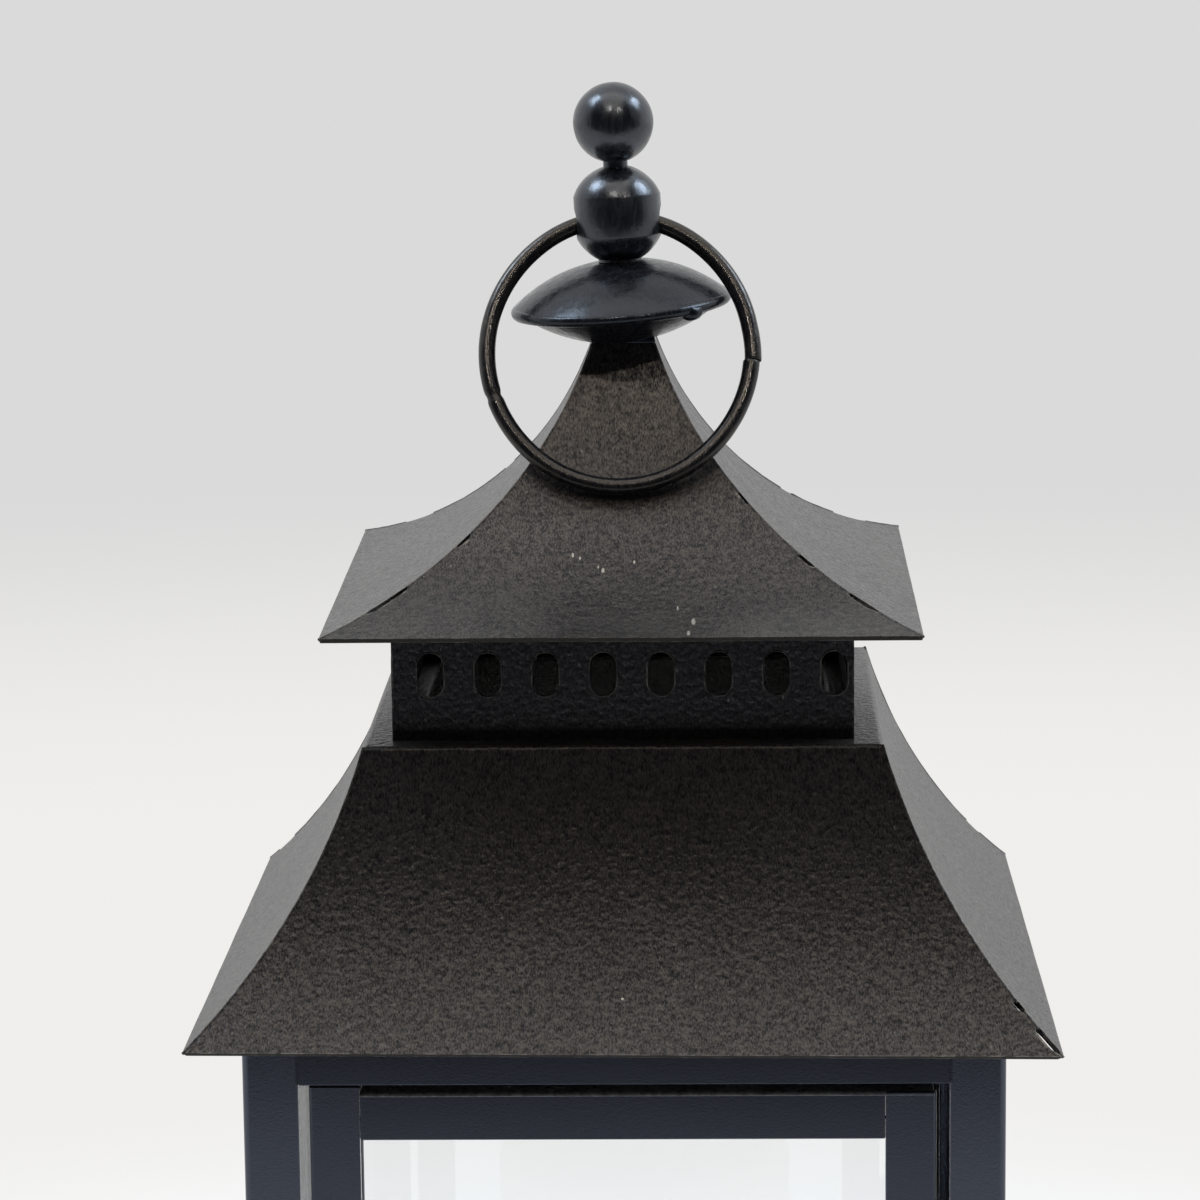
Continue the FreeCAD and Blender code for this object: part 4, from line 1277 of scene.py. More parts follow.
@dataclass(frozen=True)
class ConcaveArc:
    """Hollow curve of a roof, in the distance from the axis and the height."""

    eave_half: float
    eave_height: float
    top_half: float
    top_height: float
    sag: float

    @property
    def _chord(self) -> float:
        """Straight length from eave to top."""
        return math.hypot(self.top_half - self.eave_half, self.top_height - self.eave_height)

    @property
    def radius(self) -> float:
        """Radius of the outer face."""
        return (self._chord ** 2 / 4 + self.sag ** 2) / (2 * self.sag)

    @property
    def middle(self) -> Point2:
        """Centre of the curve.

        Returns:
            Its distance from the axis and its height.
        """
        reach = (self.radius - self.sag) / self._chord
        half = (self.eave_half + self.top_half) / 2 + (self.top_height - self.eave_height) * reach
        height = (self.eave_height + self.top_height) / 2 + (self.eave_half - self.top_half) * reach
        return half, height

    def angle_at(self, height: float, depth: float = 0.0) -> float:
        """Angle about the centre at a height, on the face that lies depth below the outer one."""
        drop = (height - self.middle[1]) / (self.radius + depth)
        return -math.pi - math.asin(drop)

    def bend_at(self, half: float) -> float:
        """Share of the way along the curve, from the eave, at a distance from the axis.

        Args:
            half: The distance.

        Returns:
            The share, 0 at the eave and 1 at the top.
        """
        angle = -math.pi + math.acos((self.middle[0] - half) / self.radius)
        eave = self.angle_at(self.eave_height)
        return (angle - eave) / (self.angle_at(self.top_height) - eave)

    def length(self) -> float:
        """Length of the outer face from eave to top."""
        return self.radius * abs(self.angle_at(self.top_height) - self.angle_at(self.eave_height))


@dataclass
class RoofTier:
    """One storey of roof: four hollow panels, the seams of their hips and the slits left open there."""

    name: str
    curve: ConcaveArc
    slits: Sequence[Sequence[Point2]]  # inset from the eave and length, for each hip from front right
    lifts: Sequence[float]  # how far each corner is bent up, from front right
    ledge_inner: float = 0.0  # inner edge of the ledge, or 0 for none
    sheet: float = 0.8 * MM
    seam: float = 0.1 * MM
    slit_width: float = 1.25 * MM
    grain: float = 0.95 * MM  # spacing of the mesh
    ledge_bend: float = 0.9 * MM
    wave_height: float = 0.22 * MM
    wave_length: float = 30 * MM
    wave_seed: float = 0.37  # step from one side's waves to the next
    seam_thickness: float = 0.26 * MM
    seam_sink: float = 0.16 * MM
    seam_step: float = 0.8 * MM  # spacing of the mesh along a bead
    seam_least: int = 4  # fewest steps of a bead
    seam_unevenness: float = 0.8
    seam_lumps: float = 420.0  # lumps in a metre
    seam_seed: float = 0.31  # step from one bead's lumps to the next
    slit_squareness: int = 6  # how suddenly a slit opens at its ends
    fold_steps: int = 4
    edge: float = 0.16 * MM

    def build(self) -> list[Piece]:
        """Build the panels and the seams.

        Returns:
            The pieces.
        """
        pieces = []
        for side in Side:
            node = f"{self.name}_{side.label}"
            mesh = self.panel(side)
            pieces.append(add_piece(f"{node}_panel", mesh, Body.LANTERN, HAMMERED, [node], self.edge))
        pieces.append(add_piece(f"{self.name}_hip_seams", self.hip_seams(), Body.LANTERN, HAMMERED))
        return pieces

    def rows(self) -> tuple[int, int]:
        """Rows of mesh on the curve and on the ledge.

        Returns:
            Both numbers, the second 0 where there is no ledge.
        """
        curve_rows = round(self.curve.length() / self.grain)
        if not self.ledge_inner:
            return curve_rows, 0
        return curve_rows, round((self.curve.top_half - self.ledge_inner) / self.grain)

    def panel(self, side: Side) -> Mesh:
        """Bent panel of one side.

        Args:
            side: The side.

        Returns:
            The mesh, in place.
        """
        curve = self.curve
        curve_rows, ledge_rows = self.rows()
        inner_top = curve.top_height - (self.sheet if ledge_rows else 0.0)
        mesh = roof_panel_tree().grow(HAMMERED, {
            "Arc Radius": curve.radius,
            "Sheet": self.sheet,
            "Centre Half": curve.middle[0],
            "Centre Height": curve.middle[1],
            "Eave Angle": curve.angle_at(curve.eave_height),
            "Outer Top Angle": curve.angle_at(curve.top_height),
            "Inner Top Angle": curve.angle_at(inner_top, self.sheet),
            "Ledge Inner": self.ledge_inner,
            "Ledge Share": ledge_rows / (curve_rows + ledge_rows),
            "Seam": self.seam / math.sqrt(2),
            "Wave Height": self.wave_height,
            "Wave Length": self.wave_length,
            "Lift": (self.lifts[side.value] + self.lifts[side.value - 1]) / 2,
            "Twist": (self.lifts[side.value] - self.lifts[side.value - 1]) / 2,
            "Seed": self.wave_seed * (side.value + 1),
            "Columns": round(2 * curve.eave_half / self.grain) + 1,
            "Rows": curve_rows + ledge_rows + 1,
        })
        self.open_slits(mesh, self.slits[side.value], 1)
        self.open_slits(mesh, self.slits[side.value - 1], -1)
        if ledge_rows:
            self.round_fold(mesh)
        mesh.transform(side.turn)
        return mesh

    def open_slits(self, mesh: Mesh, slits: Sequence[Point2], hand: int) -> None:
        """Draw the panel's edge in from the hip over each slit.

        Args:
            mesh: Front panel, which changes.
            slits: Inset and length of each slit.
            hand: 1 for the right hip, -1 for the left.
        """
        back = self.seam / math.sqrt(2)
        pull = self.slit_width / math.sqrt(2)
        for inset, length in slits:
            middle = self.curve.eave_half - inset
            reach = length / 2 / math.sqrt(2)
            for vertex in mesh.vertices:
                half = -vertex.co.y
                away = abs(half - middle) / reach
                if away < 1 and abs(vertex.co.x - hand * (half - back)) < WELD:
                    vertex.co.x -= hand * pull * (1 - away ** self.slit_squareness)

    def round_fold(self, mesh: Mesh) -> None:
        """Round the outer fold between the panel and its ledge.

        Args:
            mesh: Front panel, which changes.
        """
        curve = self.curve
        shape = bmesh.new()
        shape.from_mesh(mesh)
        corner = Vector((-curve.top_half, curve.top_height))
        fold = [
            edge for edge in shape.edges
            if all((Vector(vertex.co.yz) - corner).length < WELD for vertex in edge.verts)
        ]
        turn = curve.angle_at(curve.top_height) + math.pi / 2
        offset = self.ledge_bend * abs(math.tan(turn / 2))
        bmesh.ops.bevel(
            shape, geom=fold, offset=offset, segments=self.fold_steps, profile=0.5, affect="EDGES"
        )
        shape.to_mesh(mesh)
        shape.free()

    def hip_seams(self) -> Mesh:
        """Beads along the hips, from slit to slit.

        Returns:
            One mesh with every bead.
        """
        curve = self.curve
        shape = bmesh.new()
        for side in Side:
            ends = [curve.eave_half]
            for inset, length in sorted(self.slits[side.value]):
                reach = length / 2 / math.sqrt(2)
                ends += [curve.eave_half - inset + reach, curve.eave_half - inset - reach]
            ends.append(curve.top_half)
            for number, (start, end) in enumerate(zip(ends[::2], ends[1::2])):
                bead = hip_seam_tree().grow(HAMMERED, {
                    "Start": curve.bend_at(start),
                    "End": curve.bend_at(end),
                    "Eave Angle": curve.angle_at(curve.eave_height),
                    "Top Angle": curve.angle_at(curve.top_height),
                    "Arc Radius": curve.radius + self.seam_sink,
                    "Centre Half": curve.middle[0],
                    "Centre Height": curve.middle[1],
                    "Lift": self.lifts[side.value],
                    "Thickness": self.seam_thickness,
                    "Unevenness": self.seam_unevenness,
                    "Lump Scale": self.seam_lumps,
                    "Seed": side.value + self.seam_seed * number,
                    "Steps": max(self.seam_least, round(abs(start - end) / self.seam_step)),
                })
                bead.transform(side.turn)
                shape.from_mesh(bead)
        return made_of(shape, "hip_seams")


@dataclass
class VentCollar:
    """Four upright walls between the roofs, with rows of vents."""

    count: int = 8
    width: float = 4.6 * MM
    height: float = 7.6 * MM
    pitch: float = 9.6 * MM
    shift: float = 1.6 * MM
    rise: float = 11.2 * MM  # wall's foot to the middle of a vent
    burr: float = 0.12 * MM
    edge: float = 0.22 * MM

    def build(self) -> list[Piece]:
        """Build the walls and the burrs of their vents.

        Returns:
            The pieces.
        """
        walls = [f"vent_wall_{side.label}" for side in Side]
        # The walls and their burrs take the darker copy of the coat, which paints the shade under the upper
        # eave.
        pieces = soften(walls, Body.LANTERN, COLLAR_PAINTED_SHADE, self.edge)
        low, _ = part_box(walls[0])
        rims = vent_rim_tree().grow(COLLAR_PAINTED_SHADE, {
            "Width": self.width,
            "Height": self.height,
            "Pitch": self.pitch,
            "Shift": self.shift,
            "Middle": low.z + self.rise,
            "Face": low.y,
            "Burr": self.burr,
            "Count": self.count,
        })
        pieces.append(add_piece("vent_rims", rims, Body.LANTERN, COLLAR_PAINTED_SHADE))
        return pieces


@dataclass
class Finial:
    """Turned pieces on the neck: saucer, bead and ball, which lean a little to the left."""

    lean: Point2 = (-2.3, 0.0)  # degrees about the Y axis and the X axis
    saucer_lean: Point2 = (-4.3, 2.0)
    rim_rise: float = 1.3 * MM  # how far the saucer's rim stands above the solids' one
    dome_edge: Point2 = (0.42, 0.28)  # where the dome meets the rolled rim, in and down, in lips
    shell: float = 0.6 * MM
    dome: float = 8.1 * MM
    lip: float = 1.0 * MM
    seat: float = 4.5 * MM
    floor: float = 4.0 * MM
    foot: float = 1.0 * MM  # how far the saucer's bottom is let into the neck
    bead_end: float = 8.0 * MM
    bead_foot: float = 3.7 * MM
    bead_low: float = 7.55 * MM  # bead's foot to the centre of its lower end
    bead_band: float = 1.0 * MM
    bore: float = 2.7 * MM
    bore_rise: float = 6.65 * MM
    neck: float = 2.1 * MM
    neck_sink: float = 0.4 * MM  # how far the ball's neck is let into the bead
    hole: float = 2.2 * MM  # radius of the saucer's hole for the stud
    dome_gap: float = 0.6  # degrees by which the dome's inner face stops short of its edge
    bowl_gap: float = 1.5  # the same for the bowl
    bowl_edge: float = 0.3  # where the bowl meets the rolled rim, in from its middle, in lips
    roll: Point2 = (-80, 200)  # degrees from the start to the end of the rolled rim
    drip_turn: float = -47.0  # degrees round the saucer
    drip_place: Point2 = (1.1, 1.5)  # in and down from the rim, in lips
    drip_size: Triple = (1.5 * MM, 2.3 * MM, 1.5 * MM)
    dome_lumps: Triple = (0.12 * MM, 9 * MM, 3.1)  # push, spacing and seed of the handwork, here and below
    bowl_lumps: Triple = (0.10 * MM, 8 * MM, 5.7)
    drip_lumps: Triple = (0.25 * MM, 1.6 * MM, 1.3)
    bead_lumps: Triple = (0.10 * MM, 4 * MM, 7.9)
    ball_lumps: Triple = (0.06 * MM, 3 * MM, 2.3)
    cap_edge: float = 0.2 * MM
    stud_edge: float = 0.25 * MM

    def build(self) -> list[Piece]:
        """Build the saucer, the bead and the ball.

        Returns:
            The pieces.
        """
        pieces = [
            self.stand("saucer_dome", self.saucer_dome(), ["saucer_upper"], self.saucer_lean, SAUCER),
            self.stand("saucer_bowl", self.saucer_bowl(), ["saucer_lower"], self.saucer_lean, SAUCER),
            self.stand("saucer_drip", self.saucer_drip(), [], self.saucer_lean, SAUCER),
            self.stand("bored_bead", self.bead(), ["finial_bead"], self.lean, FINIAL),
            self.stand("top_ball", self.ball(), ["finial_ball"], self.lean, FINIAL),
        ]
        pieces += soften(["neck_cap"], Body.LANTERN, SATIN, self.cap_edge)
        pieces += soften(["finial_stud", "stud_nut"], Body.LANTERN, ZINC, self.stud_edge)
        return pieces

    def stand(self, name: str, mesh: Mesh, nodes: Sequence[str], lean: Point2, finish: Finish
              ) -> Piece:
        """Lean a turned mesh over on the neck and add it.

        Args:
            name: Name of the piece.
            mesh: Upright mesh, which changes.
            nodes: Parts that it stands for.
            lean: Degrees about the Y axis and the X axis.
            finish: Its finish.

        Returns:
            The piece.
        """
        foot = Vector((0.0, 0.0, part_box("neck_cap")[1].z))
        sideways, forward = (math.radians(angle) for angle in lean)
        tilt = Matrix.Rotation(sideways, 4, "Y") @ Matrix.Rotation(forward, 4, "X")
        mesh.transform(Matrix.Translation(foot) @ tilt @ Matrix.Translation(-foot))
        return add_piece(name, mesh, Body.LANTERN, finish, nodes)

    def saucer_dome(self) -> Mesh:
        """Upper shell of the saucer, with a rounded edge.

        Returns:
            The upright mesh.
        """
        low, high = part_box("saucer_upper")
        edge = high.x - self.dome_edge[0] * self.lip
        edge_low = low.z + self.rim_rise - self.dome_edge[1] * self.lip
        dome = low.z + self.dome - edge_low
        ball = (edge ** 2 + dome ** 2) / (2 * dome)
        middle = (0.0, edge_low + dome - ball)
        edge_turn = math.degrees(math.asin((edge_low - middle[1]) / ball))
        seat_turn = math.degrees(math.acos(self.seat / ball))
        outside = arc(middle, ball, edge_turn, seat_turn, steps=40)
        inside = arc(middle, ball - self.shell, seat_turn, edge_turn + self.dome_gap, steps=40)
        seat_top = outside[-1][1]
        profile = outside + [(self.hole, seat_top), (self.hole, seat_top - self.shell)] + inside
        mesh = turned(profile, steps=128)
        roughen(mesh, *self.dome_lumps)
        return mesh

    def saucer_bowl(self) -> Mesh:
        """Lower shell of the saucer, with its rolled rim.

        Returns:
            The upright mesh.
        """
        low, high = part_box("saucer_lower")
        bottom = low.z - self.foot
        top = high.z + self.rim_rise
        depth = top - bottom
        ball = (high.x ** 2 + depth ** 2) / (2 * depth)
        middle = (0.0, bottom + ball)
        rim = (high.x - self.lip, top - self.lip)
        out_turn = -math.degrees(math.acos((rim[0] - self.bowl_edge * self.lip) / ball))
        floor_turn = -math.degrees(math.acos(self.floor / ball))
        outside = arc(middle, ball, floor_turn, out_turn, steps=30)
        roll = arc(rim, self.lip, *self.roll, steps=18)
        inside = arc(middle, ball - self.shell, out_turn - self.bowl_gap, floor_turn, steps=30)
        floor_low = outside[0][1]
        profile = [(self.hole, floor_low), *outside, *roll, *inside, (self.hole, floor_low + self.shell)]
        mesh = turned(profile, steps=128)
        roughen(mesh, *self.bowl_lumps)
        return mesh

    def saucer_drip(self) -> Mesh:
        """Run of paint that hangs on the rim, front right.

        Returns:
            The upright mesh.
        """
        _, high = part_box("saucer_lower")
        ball = [(0.0, -1.0), *arc((0.0, 0.0), 1.0, -80, 80, steps=16), (0.0, 1.0)]
        mesh = turned(ball, steps=28)
        turn = Matrix.Rotation(math.radians(self.drip_turn), 4, "Z")
        inward, down = (share * self.lip for share in self.drip_place)
        place = Matrix.Translation((high.x - inward, 0.0, high.z + self.rim_rise - down))
        mesh.transform(turn @ place @ Matrix.Diagonal((*self.drip_size, 1.0)))
        roughen(mesh, *self.drip_lumps)
        return mesh

    def bead(self) -> Mesh:
        """Drum with rounded ends and a cross bore for the ring.

        Returns:
            The upright mesh.
        """
        low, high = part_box("finial_bead")
        waist = high.x
        lower = (0.0, low.z + self.bead_low)
        upper = (0.0, lower[1] + self.bead_band)
        foot_turn = -math.degrees(math.acos(self.bead_foot / self.bead_end))
        waist_turn = math.degrees(math.acos(waist / self.bead_end))
        neck_turn = math.degrees(math.acos(self.neck / self.bead_end))
        profile = [(0.0, low.z), (self.bead_foot, low.z)]
        profile += arc(lower, self.bead_end, foot_turn, -waist_turn, steps=24)
        profile += arc(upper, self.bead_end, waist_turn, neck_turn, steps=24)
        profile.append((0.0, profile[-1][1]))
        mesh = turned(profile, steps=112)
        roughen(mesh, *self.bead_lumps)
        return self.bored(mesh, low.z + self.bore_rise)

    def bored(self, mesh: Mesh, height: float) -> Mesh:
        """Cut the cross bore.

        Args:
            mesh: The bead.
            height: Height of the bore.

        Returns:
            The bored mesh.
        """
        reach = 2 * self.bead_end
        cutter = turned([(0.0, -reach), (self.bore, -reach), (self.bore, reach), (0.0, reach)], steps=40)
        cutter.transform(Matrix.Translation((0, 0, height)) @ Matrix.Rotation(math.pi / 2, 4, "Y"))
        holders = [linked("bore", data) for data in (mesh, cutter)]
        cut = holders[0].modifiers.new("bore", "BOOLEAN")
        cut.object = holders[1]
        cut.solver = "EXACT"
        bored = evaluated_mesh(holders[0])
        for holder in holders:
            bpy.data.objects.remove(holder)
        return bored

    def ball(self) -> Mesh:
        """Ball on its short neck.

        Returns:
            The upright mesh.
        """
        _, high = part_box("finial_ball")
        radius = high.x
        middle = (0.0, high.z - radius)
        neck_turn = -math.degrees(math.acos(self.neck / radius))
        neck_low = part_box("finial_bead")[1].z - self.neck_sink
        round_face = arc(middle, radius, neck_turn, 89, steps=44)
        profile = [(0.0, neck_low), (self.neck, neck_low), *round_face, (0.0, high.z)]
        mesh = turned(profile, steps=96)
        roughen(mesh, *self.ball_lumps)
        return mesh


@dataclass
class HangingRing:
    """Oval wire ring through the bead, leaning on the front of the upper roof."""

    wire: float = 1.45 * MM
    width: float = 45.2 * MM
    height: float = 48.4 * MM
    end_radius: float = 21.0 * MM
    bow: float = 1.385 * MM  # how far the wire rises within the bead
    lean: float = 26.173  # degrees from straight down
    slide: float = -0.6 * MM  # how far it has slipped along the bore
    joint_turn: float = -5.0  # place of the butt joint, degrees above level on the right
    joint_step: float = 0.28 * MM
    joint_gap: float = 0.12 * MM
    joint_fade: float = 24.0  # its step dies out over one part in so many of the way round
    nick_place: float = 0.569  # share of the way round from the joint
    nick_width: float = 0.008  # the same for each half of its width
    nick_depth: float = 0.16  # share of the wire's radius
    steps: int = 260
    edge: float = 0.12 * MM

    def build(self) -> list[Piece]:
        """Build the ring.

        Returns:
            The one piece.
        """
        guide = guide_mesh(self.path(), joined=True)
        mesh = ring_wire_tree().grow(RING, {
            "Wire Radius": self.wire,
            "Nick Place": self.nick_place,
            "Nick Width": self.nick_width,
            "Nick Depth": self.nick_depth,
        }, guide)
        return [add_piece("ring_wire", mesh, Body.RING, RING, ["hanging_ring"], self.edge)]

    def oval(self, turn: float) -> Point2:
        """Point of the oval in a direction from its middle.

        Args:
            turn: Direction in radians.

        Returns:
            Distance right and up of the middle.
        """
        half_width = self.width / 2
        offset = self.height / 2 - self.end_radius
        spare = half_width - self.end_radius
        inset = (offset ** 2 - spare ** 2) / (2 * spare)
        side_radius = half_width + inset
        x, z = abs(math.cos(turn)), abs(math.sin(turn))
        meet = math.atan2(offset, inset)
        meet_x = side_radius * math.cos(meet) - inset
        meet_z = side_radius * math.sin(meet)
        on_end = z * meet_x > x * meet_z
        along = z * offset if on_end else -x * inset
        centre_square = (offset if on_end else inset) ** 2
        radius = self.end_radius if on_end else side_radius
        reach = along + math.sqrt(along ** 2 - centre_square + radius ** 2)
        return reach * math.cos(turn), reach * math.sin(turn)

    def path(self) -> list[Vector]:
        """Middle of the wire from one side of the butt joint round to the other.

        Returns:
            Its points in order.
        """
        low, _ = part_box("finial_bead")
        bore = low.z + Finial.bore_rise
        place = Matrix.Translation((0, 0, bore)) @ Matrix.Rotation(math.radians(-self.lean), 4, "X")
        middle = self.bow / 2 - self.height / 2
        start = math.radians(self.joint_turn)
        gap = self.joint_gap / (self.width / 2)
        points = []
        for index in range(self.steps + 1):
            share = index / self.steps
            x, z = self.oval(start + gap / 2 + share * (math.tau - gap))
            step = self.joint_step * max(0.0, 1 - share * self.joint_fade)
            points.append(place @ Vector((x + step + self.slide, 0.0, z + middle)))
        return points


@dataclass
class BodyFrame:
    """Posts, rails, weld tabs and fixed panes."""

    edge: float = 0.24 * MM
    clip_edge: float = 0.14 * MM
    glass_edge: float = 0.30 * MM
    filler_width: float = 0.9 * MM
    filler_depth: float = 0.5 * MM
    filler_proud: float = 0.012 * MM

    def build(self) -> list[Piece]:
        """Build the frame and its glazing.

        Returns:
            The pieces.
        """
        corners = ("front_left", "front_right", "back_right", "back_left")
        posts = [f"corner_post_{corner}" for corner in corners]
        rails = [f"{rail}_rail_{side.label}" for rail in ("top", "bottom") for side in Side]
        # Posts take the brighter copy of the satin and rails the duller one, painted sheen and painted shade.
        pieces = soften(posts, Body.LANTERN, POST_PAINTED_SHEEN, self.edge)
        pieces += soften(rails, Body.LANTERN, RAIL_PAINTED_SHADE, self.edge)
        pieces += soften(["roof_tabs"], Body.LANTERN, SATIN, self.clip_edge)
        panes = [f"glass_pane_{side.label}" for side in (Side.RIGHT, Side.BACK, Side.LEFT)]
        pieces += soften(panes, Body.LANTERN, GLASS, self.glass_edge)
        pieces += soften(["glass_clips_upper", "glass_clips_lower"], Body.LANTERN, ZINC, self.clip_edge)
        for rail in ("top", "bottom"):
            mesh = self.fillers(f"{rail}_rail_front")
            pieces.append(add_piece(f"{rail}_rail_fillers", mesh, Body.LANTERN, RAIL_PAINTED_SHADE))
        return pieces

    def fillers(self, rail: str) -> Mesh:
        """Paint that fills the seams where a rail meets its two posts, on all four sides.

        Args:
            rail: The front rail.

        Returns:
            The mesh, in place.
        """
        low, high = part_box(rail)
        middle_y = low.y - self.filler_proud + self.filler_depth / 2
        middle_z = (low.z + high.z) / 2
        guide = guide_mesh(Vector((x, middle_y, middle_z)) for x in (low.x, high.x))
        return filler_tree().grow(RAIL_PAINTED_SHADE, {
            "Width": self.filler_width,
            "Depth": self.filler_depth,
            "Height": high.z - low.z - 2 * self.edge,
        }, guide)


@dataclass
class Base:
    """Floor, skirt and the rivets that hold the rails and clips."""

    edge: float = 0.26 * MM
    rivet_head: float = 2.2 * MM
    rivet_height: float = 0.8 * MM
    rivet_shank: float = 1.2 * MM
    rivet_spread: float = 30 * MM
    rivet_edge: float = 2.8 * MM
    front_grip: float = 1.6 * MM  # what a rivet holds on the door's side, where it holds no clip
    clip_grip: float = 2.2 * MM  # the same on the other sides
    cup_rivet_edge: float = 0.4 * MM

    def build(self) -> list[Piece]:
        """Build the floor, the skirt and the rivets.

        Returns:
            The pieces.
        """
        skirts = [f"base_skirt_{side.label}" for side in Side]
        pieces = soften(["base_plate", *skirts], Body.LANTERN, SATIN, self.edge)
        pieces.append(add_piece("base_rivets_domed", self.rivets(), Body.LANTERN, ZINC, ["base_rivets"]))
        pieces += soften(["cup_rivet"], Body.LANTERN, ZINC, self.cup_rivet_edge)
        return pieces

    def rivets(self) -> Mesh:
        """Domed rivets along the feet of the rails.

        Returns:
            The mesh, in place.
        """
        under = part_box("base_plate")[0].z
        inner = -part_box("bottom_rail_front")[1].y
        shape = bmesh.new()
        clipped = (Side.RIGHT, Side.BACK, Side.LEFT)
        for sides, grip in (((Side.FRONT,), self.front_grip), (clipped, self.clip_grip)):
            places = []
            for side in sides:
                for hand in (-1, 1):
                    spot = Vector((hand * self.rivet_spread, -inner - self.rivet_edge, under + grip / 2))
                    places.append(side.turn @ spot)
            shape.from_mesh(rivet_tree().grow(ZINC, {
                "Head Radius": self.rivet_head,
                "Head Height": self.rivet_height,
                "Shank Radius": self.rivet_shank,
                "Grip": grip,
                "Tilt": 0.0,
            }, guide_mesh(places)))
        return made_of(shape, "base_rivets")


@dataclass
class CandleSet:
    """Tin cup, pillar candle and wick."""

    tin: float = 0.6 * MM
    heel: float = 1.2 * MM  # radius of the cup's lower edge
    hole: float = 2.2 * MM  # radius of the cup's rivet hole
    curl: float = 0.9 * MM  # radius of the cup's rolled rim
    foot: float = 1.0 * MM  # radius of the candle's lower edge
    shoulder: float = 2.5 * MM
    pool_rim: float = 4.0 * MM
    pool_depth: float = 2.0 * MM
    hollow: float = 8.0 * MM
    hollow_depth: float = 1.6 * MM
    wick_hole: float = 1.0 * MM
    bands: int = 26  # spans up the candle's side
    lumps: Triple = (0.28 * MM, 16 * MM, 4.4)
    strand_share: float = 0.52  # of the wick's radius
    turns: float = 3.5
    wick_steps: int = 72

    def build(self) -> list[Piece]:
        """Build the cup, the candle and the wick.

        Returns:
            The pieces.
        """
        return [
            add_piece("cup_rolled", self.cup(), Body.LANTERN, ZINC, ["candle_cup"]),
            add_piece("candle_pillar", self.candle(), Body.CANDLE, WAX, ["candle"]),
            add_piece("wick_twisted", self.wick(), Body.CANDLE, WICK, ["candle_wick"]),
        ]

    def cup(self) -> Mesh:
        """Cup with a rolled rim.

        Returns:
            The mesh, in place.
        """
        low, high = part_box("candle_cup")
        wall = high.x
        inside = wall - self.tin
        rim = (wall - self.tin / 2, high.z - self.curl)
        rim_low = rim[1] - self.curl
        profile = [(self.hole, low.z), (wall - self.heel, low.z)]
        profile += arc((wall - self.heel, low.z + self.heel), self.heel, -80, 0, steps=6)
        profile += [(wall, rim_low), *arc(rim, self.curl, -60, 240, steps=20), (inside, rim_low)]
        profile += [(inside, low.z + self.tin), (self.hole, low.z + self.tin)]
        return turned(profile, steps=144)

    def candle(self) -> Mesh:
        """Pillar with a hollow foot, a soft shoulder and a melted pool.

        Returns:
            The mesh, in place.
        """
        low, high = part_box("candle")
        radius = high.x
        pool = radius - self.pool_rim
        ball = (pool ** 2 + self.pool_depth ** 2) / (2 * self.pool_depth)
        middle = (0.0, high.z - self.pool_depth + ball)
        pool_turn = -math.degrees(math.acos(pool / ball))
        wick_turn = -math.degrees(math.acos(self.wick_hole / ball))
        hollow_top = low.z + self.hollow_depth
        side_low = low.z + self.foot
        span = high.z - self.shoulder - side_low - self.foot
        profile = [(0.0, hollow_top), (self.hollow, hollow_top), (self.hollow, low.z)]
        profile += arc((radius - self.foot, side_low), self.foot, -90, 0, steps=5)
        profile += [(radius, side_low + span * step / self.bands) for step in range(1, self.bands)]
        profile += arc((radius - self.shoulder, high.z - self.shoulder), self.shoulder, 0, 90, steps=10)
        profile += arc(middle, ball, pool_turn, wick_turn, steps=24)
        profile.append((0.0, profile[-1][1]))
        mesh = turned(profile, steps=120)
        roughen(mesh, *self.lumps)
        return mesh

    def wick(self) -> Mesh:
        """Twisted strands in the wick's place.

        Returns:
            The mesh, in place.
        """
        low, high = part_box("candle_wick")
        strand = high.x * self.strand_share
        return wick_tree().grow(WICK, {
            "Foot": low.z,
            "Height": high.z - low.z,
            "Twist Radius": high.x - strand,
            "Strand Radius": strand,
            "Turns": self.turns,
            "Steps": self.wick_steps,
        })


